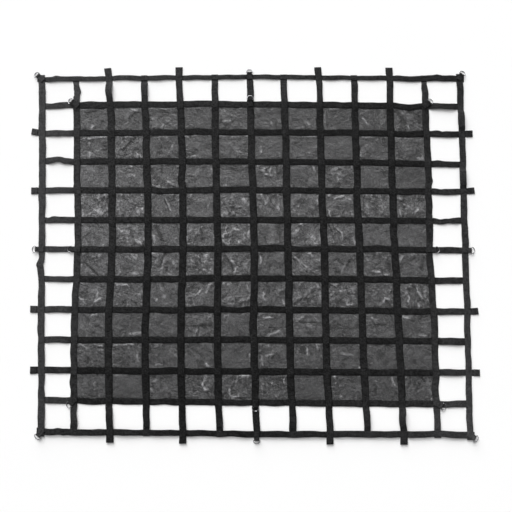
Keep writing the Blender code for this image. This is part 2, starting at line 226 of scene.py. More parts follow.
# Where the webbing itself is shifted, pinched or spread: strap, station, half length in cells,
# mm to the right or to the far side, mm wider.
VERTICAL_WRINKLES = (
    (0, 0.45, 0.20, 1, 3),
    (0, 3.90, 0.12, 0, 3),
    (0, 6.30, 0.16, 3, -5),
    (0, 6.50, 2.00, 0, -2),
    (0, 6.52, 0.12, -4, 2),
    (0, 10.50, 0.40, 0, -4),
    (1, 0.22, 0.20, -2, -9),
    (1, 0.48, 0.12, 4, 2),
    (1, 0.50, 0.50, -6, 0),
    (1, 0.62, 0.08, 1, -6),
    (1, 3.60, 0.60, -4, 0),
    (1, 3.88, 0.12, -2, 3),
    (1, 7.60, 0.70, -5, 0),
    (1, 10.40, 0.30, -4, 3),
    (1, 11.40, 0.25, -3, -2),
    (1, 11.70, 0.16, 2, 0),
    (2, 0.50, 0.35, -3, 0),
    (2, 1.50, 0.50, 5, 0),
    (2, 3.68, 0.10, 0, -5),
    (2, 11.60, 0.30, -2, 0),
    (3, 3.50, 0.50, 0, 5),
    (4, 3.60, 0.60, -7, 0),
    (4, 7.50, 0.50, -4, 2),
    (6, 8.50, 0.50, -6, 2),
    (7, 3.90, 0.80, -4, 2),
    (8, 0.50, 0.60, 0, -3),
    (8, 4.50, 0.60, -6, 2),
    (9, 4.40, 0.70, -7, 0),
    (9, 5.50, 0.40, 0, 5),
    (10, 5.50, 0.50, -5, 0),
    (10, 8.50, 0.50, 3, 3),
    (10, 11.50, 0.50, -5, 0),
    (11, 0.20, 0.20, -1, -8),
    (11, 0.55, 0.20, 2, 1),
    (11, 3.62, 0.14, 3, 3),
    (11, 6.20, 0.70, -6, 0),
    (11, 10.50, 0.50, -8, 2),
    (11, 11.50, 0.60, 0, -3),
    (12, 1.50, 0.50, -5, 0),
    (12, 2.45, 0.25, 0, -3),
    (12, 3.50, 0.50, -5, 0),
    (12, 5.00, 0.14, 0, 3),
    (12, 7.40, 0.25, 1, -3),
    (12, 8.50, 0.50, -5, 0),
    (12, 9.40, 0.30, -2, -2),
    (12, 10.50, 3.00, 0, -4),
)
HORIZONTAL_WRINKLES = (
    (0, 0.00, 3.00, 0, -3),
    (0, 0.42, 0.14, 3, 4),
    (0, 1.42, 0.20, 2, 2),
    (0, 2.50, 0.50, 5, 0),
    (0, 3.00, 3.00, 0, -4),
    (0, 6.00, 3.00, 0, -6),
    (0, 9.00, 3.00, 0, -6),
    (0, 10.25, 0.18, 2, 2),
    (0, 10.65, 0.50, -5, 0),
    (0, 11.38, 0.16, 3, 4),
    (0, 11.50, 1.50, 0, 4),
    (0, 11.60, 0.40, -5, 0),
    (1, 0.28, 0.25, -2, -6),
    (1, 0.75, 0.25, 3, -1),
    (1, 1.50, 0.50, 0, 8),
    (1, 4.70, 0.70, 6, 0),
    (1, 10.60, 0.30, -2, 0),
    (1, 11.60, 0.40, -4, 0),
    (2, 0.45, 0.18, -2, 3),
    (2, 10.50, 0.50, -6, 0),
    (2, 11.28, 0.16, 2, 3),
    (2, 11.45, 0.10, -1, -4),
    (3, 0.45, 0.20, 4, -4),
    (3, 0.66, 0.10, -2, 0),
    (3, 3.50, 0.50, 4, 0),
    (3, 11.28, 0.14, 2, 3),
    (3, 11.50, 0.15, 0, -3),
    (3, 11.60, 0.50, -4, 0),
    (4, 3.50, 0.50, -5, 0),
    (4, 11.35, 0.16, -2, -3),
    (5, 0.18, 0.12, -3, -5),
    (5, 0.36, 0.14, 2, 2),
    (5, 6.70, 0.80, 0, 6),
    (5, 11.32, 0.18, -4, -3),
    (5, 11.50, 1.00, 0, -4),
    (5, 11.55, 0.16, 0, -6),
    (5, 11.85, 0.14, 1, 2),
    (6, 0.50, 1.00, 0, -4),
    (6, 2.50, 0.50, -4, 0),
    (6, 3.50, 0.40, 0, 8),
    (6, 6.50, 0.40, 0, 7),
    (6, 7.50, 0.50, -4, -8),
    (7, 0.50, 0.70, 0, -4),
    (7, 4.50, 0.50, 5, 2),
    (8, 1.50, 0.50, -4, 0),
    (8, 4.50, 0.40, 4, 0),
    (8, 5.50, 0.40, -4, -6),
    (8, 6.50, 0.40, 5, 0),
    (8, 10.50, 0.50, -5, 0),
    (9, 10.50, 0.50, -4, 0),
    (9, 11.50, 1.00, 0, 4),
    (10, 3.80, 0.70, 3, 4),
    (10, 6.50, 0.50, 0, 5),
    (11, 1.50, 0.50, -4, 0),
    (11, 3.50, 0.30, 2, 0),
    (11, 5.50, 0.50, -5, -6),
    (12, 0.50, 0.14, 2, 3),
    (12, 0.68, 0.10, -2, 2),
    (12, 3.40, 0.30, -2, 0),
    (12, 4.00, 4.00, 3, -3),
    (12, 7.50, 0.50, 4, 0),
    (12, 8.40, 0.30, 2, -2),
    (12, 10.90, 0.90, 5, 0),
)

# How light each strap is drawn, 0 black to 1 grey, at its first end, its middle and its last:
# painted light and shade, lighter where more light falls on the webbing and darker where less
# does.
VERTICAL_GREY = (
    (0.91, 0.83, 0.74),
    (0.67, 0.65, 0.50),
    (0.53, 0.45, 0.33),
    (0.48, 0.36, 0.24),
    (0.46, 0.33, 0.20),
    (0.49, 0.35, 0.25),
    (0.46, 0.36, 0.27),
    (0.46, 0.36, 0.30),
    (0.37, 0.35, 0.37),
    (0.34, 0.36, 0.40),
    (0.32, 0.36, 0.42),
    (0.44, 0.52, 0.67),
    (0.54, 0.67, 0.84),
)
HORIZONTAL_GREY = (
    (0.74, 0.60, 0.45),
    (0.52, 0.50, 0.28),
    (0.54, 0.33, 0.24),
    (0.50, 0.27, 0.30),
    (0.52, 0.32, 0.33),
    (0.48, 0.32, 0.34),
    (0.50, 0.32, 0.38),
    (0.48, 0.26, 0.36),
    (0.46, 0.24, 0.40),
    (0.36, 0.28, 0.40),
    (0.22, 0.22, 0.43),
    (0.38, 0.34, 0.56),
    (0.54, 0.37, 0.74),
)
# How much greyer the inner straps are drawn outside the mesh, over the white floor, at their
# first
# and last ends: painted light.
VERTICAL_OPEN_GREY = (0.18, 0.10)
HORIZONTAL_OPEN_GREY = (0.32, 0.22)
OPEN_GREY_EASE = 0.25

# The mesh panel's cut size, and how finely it is made: so many steps across a cell where it
# shows, and one where a strap covers it, to so far from the strap's middle.
MESH_COLS_PER_CELL = 32
MESH_ROWS_PER_CELL = 28
STRAP_COVER = 17.0 * MM
# How high it lies under the straps and at its lowest, and how soon past a strap it is free.
MESH_LEVEL = 1.1 * MM
MESH_LOWEST = 0.3 * MM
MESH_EASE = 6.0 * MM
# Where it is free it puckers broadly, crumples in long wrinkles that turn from patch to patch,
# and is pinched here and there. Heights and spans are in m, and the turn is in radians, over a
# span of so many puckers. A pinch is what of its noise goes over PINCH_START, PINCH_GAIN times
# as much, and it is painted pale as a highlight.
PUCKER_MEAN = 0.5 * MM
PUCKER_SWING = 6.0 * MM
PUCKER_SPAN = 0.062
CRUMPLE = 3.4 * MM
CRUMPLE_LONG = 0.050
CRUMPLE_WIDE = 0.019
CRUMPLE_TURN = 7.0
CRUMPLE_TURN_PUCKERS = 3
WARP_SPAN = 0.045
PINCH = 2.4 * MM
PINCH_SPAN = 0.017
PINCH_START = 0.2
PINCH_GAIN = 2.0
PINCH_HIGHLIGHT = 0.3
# Which level of the noise each of these draws.
TURN_DRAW = 5.5
CRUMPLE_DRAW = 3.1
PINCH_DRAW = 7.7
# A cell with no fold lies this calm, from 0 to 1, and each fold in it adds its share.
CALM = 0.35
FOLD_UNREST = 0.2
# A fold of strength 1 stands this high.
FOLD_HEIGHT = 4.6 * MM
# A trough is painted this much darker, as painted shade, than a ridge of the same strength is
# painted pale as a highlight.
TROUGH_SHADE = 1.5
# No fold runs straight: each strays this far, over this span.
FOLD_STRAY = 5.0 * MM
FOLD_STRAY_SPAN = 0.028
# How pale the panel lies: in its middle rows, less so at its far and near sides, and less so
# towards the right, most of all in the rows before PALE_EVEN_ROW.
PANEL_PALE = 0.15
PALE_ROW = 5.1
PALE_ROW_FALL = 0.20
PALE_COL_FALL = 0.15
PALE_COL_FALL_NEAR = 0.05
PALE_EVEN_ROW = 6.0
PALE_EVEN_SPAN = 3.0

# Folds and creases of the mesh: from (row, col) to (row, col), bow in mm to the right of the way
# it runs, half width in mm, and strength: 1 a sharp ridge with a painted highlight along it,
# below
# 0 a trough with painted shade in it.
MESH_FOLDS = (
    (1.17, 1.12, 1.17, 1.30, 0, 4, 0.3),
    (1.31, 1.30, 1.24, 1.55, 0, 7, -0.3),
    (1.77, 1.50, 1.86, 1.42, 0, 6, 0.9),
    (1.18, 2.62, 1.22, 2.75, 0, 7, 0.5),
    (1.28, 2.80, 1.50, 2.55, 6, 5, -0.5),
    (1.20, 2.72, 1.45, 2.45, 6, 9, 0.3),
    (1.72, 3.50, 1.85, 3.45, 0, 4, 0.8),
    (1.58, 3.58, 1.62, 3.68, 0, 5, 0.6),
    (1.62, 3.75, 1.65, 3.90, 0, 3, 0.4),
    (1.42, 3.85, 1.42, 3.85, 0, 4, 0.5),
    (1.15, 3.50, 1.25, 3.50, 0, 4, 0.4),
    (1.25, 5.20, 1.25, 5.30, 0, 5, 0.5),
    (1.35, 5.33, 1.40, 5.38, 0, 4, 0.5),
    (1.62, 5.25, 1.60, 5.42, 4, 7, 0.9),
    (1.62, 6.58, 1.75, 6.62, 0, 4, 0.5),
    (1.88, 6.60, 1.90, 6.70, 0, 3, 0.9),
    (1.62, 7.60, 1.75, 7.70, 0, 4, 0.7),
    (1.70, 7.55, 1.85, 7.60, 0, 3, -0.3),
    (1.78, 7.50, 1.90, 7.53, 0, 3, 0.5),
    (1.50, 7.85, 1.75, 7.85, 0, 4, 0.3),
    (1.25, 8.15, 1.90, 8.15, 0, 5, 0.35),
    (1.17, 8.30, 1.14, 8.50, 0, 4, 0.4),
    (1.48, 9.22, 1.70, 9.36, 0, 5, 0.8),
    (1.20, 9.75, 1.75, 9.80, 0, 8, 0.2),
    (1.20, 10.35, 1.70, 10.75, 0, 16, 0.2),
    (1.20, 10.18, 1.75, 10.42, -4, 7, -0.5),
    (1.70, 10.50, 1.88, 10.53, 0, 4, 0.7),
    (1.15, 10.50, 1.50, 10.95, 0, 6, -0.4),
    (2.17, 1.12, 2.20, 1.40, 0, 6, 0.5),
    (2.15, 1.55, 2.15, 1.88, 0, 6, 0.5),
    (2.27, 1.12, 2.30, 1.35, 0, 3, -0.5),
    (2.70, 1.37, 2.88, 1.35, 0, 5, 0.9),
    (2.72, 1.75, 2.76, 1.90, 0, 3, -0.3),
    (2.50, 1.25, 2.50, 1.75, 0, 45, -0.06),
    (2.15, 2.15, 2.17, 2.60, 0, 4, 0.3),
    (2.20, 2.68, 2.62, 2.32, 0, 3, -0.6),
    (2.20, 2.60, 2.55, 2.28, 0, 5, 0.2),
    (2.75, 2.72, 2.88, 2.73, 0, 5, 0.7),
    (2.85, 2.83, 2.88, 2.88, 0, 5, 1.0),
    (2.35, 3.78, 2.60, 3.68, 0, 4, 0.5),
    (2.40, 3.72, 2.60, 3.60, 0, 3, -0.3),
    (2.70, 3.30, 2.75, 3.50, 0, 4, -0.3),
    (2.15, 4.12, 2.18, 4.18, 0, 5, 0.7),
    (2.82, 4.30, 2.85, 4.38, 0, 5, 0.5),
    (2.85, 4.45, 2.87, 4.55, 0, 5, 0.5),
    (2.13, 5.10, 2.13, 5.90, 0, 5, 0.5),
    (2.40, 5.35, 2.45, 5.50, 0, 3, 0.3),
    (2.50, 5.45, 2.60, 5.60, 0, 3, 0.3),
    (2.65, 5.55, 2.70, 5.70, 0, 3, 0.5),
    (2.50, 6.27, 2.70, 6.28, 0, 4, 0.7),
    (2.15, 7.50, 2.13, 7.88, 0, 5, 0.5),
    (2.75, 7.38, 2.75, 7.38, 0, 5, 0.6),
    (2.70, 7.65, 2.70, 7.65, 0, 5, 0.6),
    (2.13, 9.20, 2.15, 9.45, 0, 4, 0.6),
    (2.20, 9.25, 2.30, 9.50, 0, 4, -0.3),
    (2.65, 9.12, 2.80, 9.13, 0, 4, 0.5),
    (2.15, 10.12, 2.17, 10.60, 0, 4, 0.5),
    (2.30, 10.55, 2.35, 10.85, 0, 4, -0.3),
    (2.85, 10.75, 2.87, 10.90, 0, 8, 0.8),
    (3.15, 1.15, 3.30, 1.50, 0, 10, 0.2),
    (3.78, 1.70, 3.85, 1.75, 0, 5, 0.5),
    (3.17, 2.53, 3.20, 2.58, 0, 6, 0.9),
    (3.15, 2.90, 3.15, 2.90, 0, 5, 0.5),
    (3.50, 2.50, 3.50, 2.62, 0, 8, 0.4),
    (3.12, 3.42, 3.40, 3.40, 0, 4, -0.6),
    (3.25, 3.12, 3.35, 3.15, 0, 5, -0.5),
    (3.70, 3.55, 3.82, 3.72, 0, 4, 0.8),
    (3.85, 3.15, 3.83, 3.35, 0, 3, 0.5),
    (3.50, 3.25, 3.50, 3.75, 0, 45, -0.07),
    (3.42, 4.27, 3.42, 4.27, 0, 4, -0.5),
    (3.53, 4.12, 3.55, 4.35, 0, 3, -0.4),
    (3.52, 4.45, 3.60, 4.85, 0, 3, -0.4),
    (3.20, 4.50, 3.40, 4.45, 0, 8, 0.2),
    (3.10, 4.85, 3.35, 4.88, 0, 5, 0.4),
    (3.15, 4.12, 3.15, 4.12, 0, 5, 0.4),
    (3.83, 5.28, 3.83, 5.28, 0, 5, 0.8),
    (3.20, 5.90, 3.40, 5.65, 0, 6, -0.2),
    (3.25, 6.35, 3.40, 6.33, 0, 4, 0.9),
    (3.45, 6.35, 3.50, 6.55, 0, 4, 1.0),
    (3.25, 6.55, 3.45, 6.50, 0, 4, 0.9),
    (3.35, 6.35, 3.30, 6.20, 0, 3, 0.5),
    (3.33, 6.43, 3.33, 6.43, 0, 4, -0.5),
    (3.15, 6.72, 3.60, 6.75, 0, 5, -0.3),
    (3.20, 7.76, 3.33, 7.82, 0, 4, 0.8),
    (3.13, 7.50, 3.15, 7.60, 0, 4, 0.4),
    (3.25, 8.37, 3.22, 8.45, 0, 6, 0.8),
    (3.20, 8.53, 3.20, 8.53, 0, 5, 0.8),
    (3.13, 8.85, 3.20, 8.87, 0, 4, 0.6),
    (3.60, 8.15, 3.65, 8.25, 0, 5, -0.5),
    (3.45, 8.45, 3.40, 8.55, 0, 4, 0.3),
    (3.50, 8.25, 3.50, 8.75, 0, 45, 0.11),
    (3.40, 9.55, 3.40, 9.55, 0, 6, 0.3),
    (3.50, 10.25, 3.50, 10.75, 0, 45, -0.08),
    (4.26, 1.16, 4.26, 1.16, 0, 6, 0.5),
    (4.12, 1.63, 4.28, 1.58, 0, 5, 0.5),
    (4.70, 1.53, 4.80, 1.67, 0, 9, 1.0),
    (4.62, 1.88, 4.80, 1.70, 0, 4, 0.5),
    (4.70, 1.88, 4.87, 1.72, 0, 3, -0.5),
    (4.65, 1.12, 4.85, 1.14, 0, 6, 0.5),
    (4.17, 2.38, 4.15, 2.45, 0, 5, 0.4),
    (4.37, 2.17, 4.38, 2.27, 0, 5, 0.8),
    (4.55, 2.16, 4.68, 2.18, 0, 6, 0.6),
    (4.18, 2.83, 4.18, 2.83, 0, 4, 0.5),
    (4.60, 2.70, 4.75, 2.73, 0, 5, 0.8),
    (4.62, 2.85, 4.75, 2.87, 0, 4, 0.6),
    (4.33, 3.21, 4.33, 3.21, 0, 5, 0.6),
    (4.28, 3.51, 4.50, 3.58, 0, 3, 0.6),
    (4.50, 3.58, 4.70, 3.66, 0, 3, 0.5),
    (4.30, 3.47, 4.72, 3.62, 0, 3, -0.6),
    (4.20, 3.85, 4.35, 3.87, 0, 4, 0.4),
    (4.50, 3.25, 4.50, 3.75, 0, 45, -0.07),
    (4.52, 4.75, 4.60, 4.74, 0, 4, 0.6),
    (4.15, 4.25, 4.28, 4.20, 0, 4, 0.4),
    (4.30, 5.70, 4.40, 5.77, 0, 6, 0.8),
    (4.42, 5.18, 4.42, 5.18, 0, 5, 0.5),
    (4.83, 5.14, 4.78, 5.28, 0, 6, 0.6),
    (4.77, 5.44, 4.85, 5.46, 0, 5, 0.8),
    (4.12, 6.25, 4.22, 6.26, 0, 5, 0.7),
    (4.28, 6.45, 4.48, 6.37, 0, 5, 0.6),
    (4.50, 6.75, 4.65, 6.73, 0, 6, 0.8),
    (4.62, 6.65, 4.62, 6.65, 0, 5, 0.6),
    (4.15, 7.40, 4.25, 7.50, 0, 3, 0.3),
    (4.30, 7.85, 4.45, 7.87, 0, 4, 0.6),
    (4.30, 7.55, 4.30, 7.55, 0, 4, 0.5),
    (4.55, 7.30, 4.55, 7.30, 0, 5, 0.4),
    (4.65, 7.70, 4.88, 7.70, 0, 3, -0.3),
    (4.15, 8.20, 4.27, 8.15, 0, 5, 0.7),
    (4.27, 8.35, 4.17, 8.60, 0, 4, 0.6),
    (4.27, 8.75, 4.32, 8.78, 0, 4, 0.5),
    (4.70, 8.18, 4.87, 8.20, 0, 5, 0.7),
    (4.87, 8.20, 4.88, 8.50, 0, 3, 0.4),
    (4.12, 9.15, 4.13, 9.55, 0, 4, 0.8),
    (4.20, 9.18, 4.60, 9.14, 0, 3, -0.4),
    (4.35, 9.27, 4.75, 9.27, 0, 4, 0.6),
    (4.70, 9.10, 4.85, 9.22, 0, 5, -0.6),
    (4.28, 9.67, 4.28, 9.67, 0, 4, 0.6),
    (4.45, 9.73, 4.45, 9.73, 0, 4, 0.5),
    (4.25, 10.20, 4.25, 10.20, 0, 5, 0.6),
    (4.48, 10.32, 4.62, 10.50, -6, 4, 0.7),
    (4.68, 10.65, 4.63, 10.72, 0, 6, 0.8),
    (4.67, 10.86, 4.67, 10.86, 0, 4, 0.6),
    (4.65, 10.17, 4.85, 10.22, 0, 4, 0.6),
    (5.30, 1.25, 5.30, 1.25, 0, 12, 0.3),
    (5.60, 1.20, 5.40, 1.40, 0, 5, -0.3),
    (5.86, 1.75, 5.86, 1.75, 0, 6, 0.7),
    (5.42, 2.30, 5.45, 2.42, 0, 9, 0.4),
    (5.33, 2.65, 5.42, 2.70, 0, 5, 0.6),
    (5.78, 2.45, 5.85, 2.48, 0, 6, 0.6),
    (5.70, 2.65, 5.82, 2.80, 0, 6, 0.8),
    (5.25, 3.25, 5.75, 3.42, 0, 8, -0.5),
    (5.55, 3.15, 5.75, 3.20, 0, 7, 0.6),
    (5.40, 4.17, 5.33, 4.38, -4, 4, 0.5),
    (5.60, 4.46, 5.72, 4.47, 0, 4, 0.8),
    (5.35, 4.53, 5.70, 4.57, 0, 5, -0.3),
    (5.40, 4.13, 5.70, 4.12, 0, 4, 0.5),
    (5.25, 5.27, 5.60, 5.15, 0, 4, 0.7),
    (5.33, 5.45, 5.36, 5.58, 0, 5, 0.8),
    (5.70, 5.15, 5.85, 5.28, 4, 5, 0.8),
    (5.45, 5.73, 5.68, 5.74, 0, 4, 0.6),
    (5.40, 5.87, 5.68, 5.84, 0, 4, 0.8),
    (5.20, 6.55, 5.80, 6.50, 0, 14, 0.2),
    (5.15, 6.75, 5.80, 6.77, 0, 6, -0.3),
    (5.80, 6.40, 5.78, 6.80, 3, 3, 0.3),
    (5.50, 6.25, 5.50, 6.75, 0, 45, -0.06),
    (5.55, 7.15, 5.38, 7.25, 0, 6, 0.7),
    (5.38, 7.25, 5.45, 7.38, 0, 5, 0.6),
    (5.60, 7.68, 5.68, 7.72, 0, 12, 0.7),
    (5.50, 7.88, 5.70, 7.88, 0, 4, 0.6),
    (5.82, 7.65, 5.85, 7.78, 0, 6, 0.7),
    (5.15, 8.15, 5.40, 8.23, 0, 4, -0.4),
    (5.33, 8.40, 5.45, 8.52, 0, 4, 0.9),
    (5.45, 8.52, 5.72, 8.53, 0, 4, 0.8),
    (5.30, 8.33, 5.45, 8.45, 0, 4, -0.5),
    (5.60, 8.83, 5.80, 8.87, 0, 5, 0.7),
    (5.32, 9.27, 5.32, 9.27, 0, 4, 0.5),
    (5.83, 10.20, 5.83, 10.20, 0, 4, 0.5),
    (6.38, 1.35, 6.30, 1.55, 0, 3, -0.4),
    (6.18, 1.65, 6.35, 1.60, 0, 5, 0.5),
    (6.45, 1.22, 6.87, 1.62, 0, 5, -0.5),
    (6.80, 1.40, 6.83, 1.52, 0, 4, 0.4),
    (6.18, 2.55, 6.30, 2.65, 0, 5, 0.8),
    (6.20, 2.70, 6.32, 2.65, 0, 4, 0.6),
    (6.50, 2.42, 6.50, 2.42, 0, 6, 0.5),
    (6.77, 2.50, 6.82, 2.72, 4, 5, 0.7),
    (6.17, 3.15, 6.20, 3.25, 0, 7, 0.6),
    (6.22, 3.29, 6.45, 3.24, 0, 4, 0.7),
    (6.15, 3.48, 6.60, 3.33, 0, 5, -0.6),
    (6.25, 3.50, 6.70, 3.38, 0, 6, 0.25),
    (6.70, 3.60, 6.30, 3.88, 0, 4, 0.3),
    (6.83, 3.60, 6.85, 3.65, 0, 4, 0.6),
    (6.50, 3.25, 6.50, 3.75, 0, 45, -0.07),
    (6.25, 4.68, 6.50, 4.68, 0, 8, 0.8),
    (6.40, 4.27, 6.40, 4.27, 0, 4, 0.7),
    (6.68, 4.60, 6.78, 4.70, 0, 5, 0.6),
    (6.70, 4.80, 6.70, 4.80, 0, 5, 0.8),
    (6.20, 5.25, 6.45, 5.40, 0, 4, 0.7),
    (6.45, 5.40, 6.72, 5.50, -3, 5, 0.7),
    (6.72, 5.50, 6.88, 5.42, 0, 4, 0.7),
    (6.20, 5.17, 6.65, 5.42, -3, 6, -0.5),
    (6.20, 5.77, 6.20, 5.77, 0, 5, 0.6),
    (6.30, 6.18, 6.50, 6.20, 0, 5, 0.6),
    (6.55, 6.70, 6.80, 6.70, 0, 3, 0.3),
    (6.50, 6.25, 6.50, 6.75, 0, 45, -0.05),
    (6.25, 7.15, 6.72, 7.60, 0, 4, 0.8),
    (6.75, 7.78, 6.75, 7.78, 0, 6, 0.7),
    (6.15, 7.57, 6.25, 7.68, 0, 5, 0.8),
    (6.15, 7.35, 6.15, 7.35, 0, 5, 0.5),
    (6.35, 8.38, 6.55, 8.50, 0, 6, -0.3),
    (6.50, 8.55, 6.78, 8.50, 0, 4, 0.6),
    (6.77, 8.50, 6.78, 8.85, 0, 3, 0.4),
    (6.35, 9.22, 6.35, 9.22, 0, 7, 0.7),
    (6.75, 9.35, 6.76, 9.55, 0, 6, 0.9),
    (6.85, 9.50, 6.85, 9.80, 0, 3, 0.4),
    (6.30, 9.80, 6.70, 9.82, 0, 6, -0.3),
    (6.50, 9.25, 6.50, 9.75, 0, 45, -0.06),
    (6.27, 10.20, 6.37, 10.12, 0, 6, 0.6),
    (6.25, 10.82, 6.65, 10.72, 0, 6, -0.4),
    (6.77, 10.58, 6.77, 10.58, 0, 4, 0.6),
    (7.62, 1.10, 7.70, 1.22, 0, 5, 0.9),
    (7.75, 1.58, 7.66, 1.70, 0, 6, 1.0),
    (7.25, 1.62, 7.60, 1.62, 0, 4, 0.4),
    (7.20, 2.20, 7.20, 2.48, 0, 5, 0.7),
    (7.52, 2.80, 7.42, 2.87, 0, 5, 0.8),
    (7.82, 2.48, 7.82, 2.48, 0, 5, 0.6),
    (7.68, 3.28, 7.68, 3.28, 0, 6, 0.8),
    (7.30, 3.40, 7.60, 3.50, 0, 12, 0.25),
    (7.55, 4.28, 7.52, 4.45, 0, 4, 0.8),
    (7.48, 4.45, 7.30, 4.55, 0, 4, 0.6),
    (7.45, 4.68, 7.22, 4.74, 4, 4, 0.8),
    (7.20, 4.74, 7.20, 4.86, 0, 4, 0.6),
    (7.25, 4.30, 7.42, 4.30, 5, 4, -0.4),
    (7.20, 5.12, 7.12, 5.22, 0, 4, 0.7),
    (7.22, 5.28, 7.15, 5.38, 0, 4, 0.6),
    (7.25, 5.80, 7.50, 5.90, 0, 4, 0.6),
    (7.56, 5.50, 7.60, 5.62, 0, 4, 0.4),
    (7.72, 5.62, 7.66, 5.85, 0, 6, 0.4),
    (7.83, 5.30, 7.83, 5.45, 0, 5, 0.4),
    (7.50, 6.28, 7.70, 6.30, 0, 5, 0.8),
    (7.22, 6.28, 7.42, 6.18, 0, 4, 0.3),
    (7.70, 6.82, 7.85, 6.88, 0, 5, 0.6),
    (7.25, 7.83, 7.28, 7.80, 0, 5, 0.9),
    (7.20, 7.74, 7.62, 7.38, 0, 4, 0.45),
    (7.26, 7.80, 7.70, 7.42, 0, 3, -0.3),
    (7.55, 7.35, 7.68, 7.25, 0, 4, 0.5),
    (7.62, 7.55, 7.62, 7.55, 0, 6, 0.8),
    (7.45, 7.87, 7.58, 7.88, 0, 4, 0.7),
    (7.82, 7.25, 7.82, 7.25, 0, 6, 0.6),
    (7.18, 8.20, 7.22, 8.30, 0, 5, 0.7),
    (7.38, 8.43, 7.38, 8.55, 0, 5, 0.6),
    (7.42, 8.68, 7.42, 8.68, 0, 5, 0.7),
    (7.42, 8.80, 7.42, 8.80, 0, 6, 0.9),
    (7.66, 8.23, 7.66, 8.23, 0, 6, 0.8),
    (7.82, 8.62, 7.82, 8.76, 0, 6, 0.7),
    (7.35, 9.82, 7.35, 9.82, 0, 5, 0.7),
    (7.60, 9.68, 7.64, 9.80, 0, 5, 0.9),
    (7.80, 9.55, 7.60, 9.68, 0, 6, 0.5),
    (7.82, 9.85, 7.82, 9.85, 0, 5, 0.5),
    (7.20, 10.25, 7.45, 10.27, 0, 4, 0.5),
    (7.45, 10.27, 7.60, 10.35, 0, 4, 0.9),
    (7.60, 10.35, 7.75, 10.32, 0, 4, 0.8),
    (7.18, 10.58, 7.40, 10.62, 0, 5, 0.6),
    (7.40, 10.62, 7.62, 10.72, 0, 5, 0.8),
    (7.78, 10.60, 7.90, 10.60, 0, 5, 0.9),
    (7.25, 10.82, 7.50, 10.80, 0, 4, 0.6),
    (8.20, 1.50, 8.15, 1.62, 0, 6, 0.8),
    (8.50, 1.25, 8.50, 1.75, 0, 45, 0.07),
    (8.82, 2.58, 8.78, 2.88, 0, 6, 0.6),
    (8.25, 3.68, 8.25, 3.68, 0, 6, 0.8),
    (8.25, 4.78, 8.25, 4.78, 0, 6, 0.9),
    (8.85, 4.35, 8.65, 4.45, 0, 5, 0.6),
    (8.70, 4.78, 8.65, 4.88, 0, 4, 0.6),
    (8.55, 4.20, 8.53, 4.85, 0, 4, -0.3),
    (8.22, 5.20, 8.20, 5.30, 0, 5, 0.5),
    (8.28, 6.28, 8.26, 6.48, 0, 5, 0.9),
    (8.35, 6.12, 8.35, 6.12, 0, 5, 0.5),
    (8.85, 6.42, 8.70, 6.72, 0, 6, 0.9),
    (8.32, 7.26, 8.25, 7.38, 0, 5, 0.9),
    (8.28, 7.68, 8.34, 7.78, 0, 5, 0.4),
    (8.42, 7.30, 8.42, 7.85, 0, 4, -0.5),
    (8.50, 7.25, 8.50, 7.75, 0, 45, 0.08),
    (8.82, 8.52, 8.82, 8.52, 0, 5, 0.7),
    (8.60, 8.20, 8.62, 8.80, 0, 5, -0.2),
    (8.25, 9.30, 8.25, 9.30, 0, 6, 0.9),
    (8.48, 9.35, 8.48, 9.65, 0, 3, -0.6),
    (8.18, 10.15, 8.24, 10.30, 0, 5, 0.9),
    (8.30, 10.35, 8.45, 10.50, 0, 4, -0.3),
    (8.82, 10.60, 8.85, 10.75, 0, 6, 0.6),
    (9.15, 1.14, 9.22, 1.32, 0, 7, 0.8),
    (9.18, 1.65, 9.20, 1.88, 0, 4, 0.5),
    (9.25, 1.70, 9.26, 1.88, 0, 3, -0.4),
    (9.33, 1.70, 9.34, 1.88, 0, 3, 0.4),
    (9.20, 2.20, 9.20, 2.20, 0, 7, 0.8),
    (9.14, 2.42, 9.14, 2.68, 0, 4, 0.7),
    (9.32, 2.12, 9.32, 2.28, 0, 3, -0.4),
    (9.42, 2.12, 9.42, 2.28, 0, 3, 0.4),
    (9.45, 2.78, 9.70, 2.80, 0, 6, 0.4),
    (9.50, 3.84, 9.50, 3.84, 0, 7, 0.9),
    (9.80, 3.28, 9.80, 3.42, 0, 4, 0.8),
    (9.75, 4.68, 9.86, 4.73, 0, 5, 0.9),
    (9.45, 5.88, 9.70, 5.88, 0, 4, 0.6),
    (9.20, 6.42, 9.20, 6.42, 0, 5, 0.7),
    (9.55, 6.22, 9.80, 6.24, 0, 4, 0.9),
    (9.52, 6.33, 9.46, 6.50, 0, 4, 0.5),
    (9.22, 7.47, 9.46, 7.48, 0, 6, 0.8),
    (9.15, 7.74, 9.27, 7.76, 0, 5, 0.9),
    (9.43, 8.40, 9.48, 8.68, -3, 5, 0.6),
    (9.86, 8.86, 9.88, 8.90, 0, 6, 0.9),
    (9.20, 9.20, 9.20, 9.20, 0, 5, 0.8),
    (9.50, 10.25, 9.50, 10.75, 0, 45, 0.10),
    (10.13, 1.68, 10.13, 1.68, 0, 5, -0.9),
    (10.30, 1.55, 10.80, 1.62, 0, 9, 0.2),
    (10.17, 2.15, 10.15, 2.50, 0, 5, 0.3),
    (10.33, 3.26, 10.33, 3.26, 0, 6, 0.8),
    (10.62, 3.16, 10.70, 3.20, 0, 5, 0.7),
    (10.12, 4.68, 10.45, 4.58, 0, 5, 0.7),
    (10.45, 4.58, 10.60, 4.64, -3, 5, 1.0),
    (10.62, 4.64, 10.60, 4.72, 0, 5, 0.8),
    (10.13, 5.58, 10.12, 5.85, 0, 4, 0.9),
    (10.20, 5.52, 10.38, 5.52, 0, 4, 0.6),
    (10.55, 5.30, 10.80, 5.32, 0, 5, 0.8),
    (10.85, 5.33, 10.80, 5.55, 0, 5, 0.7),
    (10.40, 6.47, 10.40, 6.47, 0, 6, 0.8),
    (10.25, 6.80, 10.38, 6.81, 0, 5, 0.8),
    (10.15, 8.20, 10.38, 8.22, 0, 4, 0.8),
    (10.80, 8.35, 10.88, 8.35, 0, 5, 0.7),
    (10.18, 9.75, 10.42, 9.80, 0, 6, 0.9),
    (10.38, 9.28, 10.75, 9.25, -6, 4, -0.5),
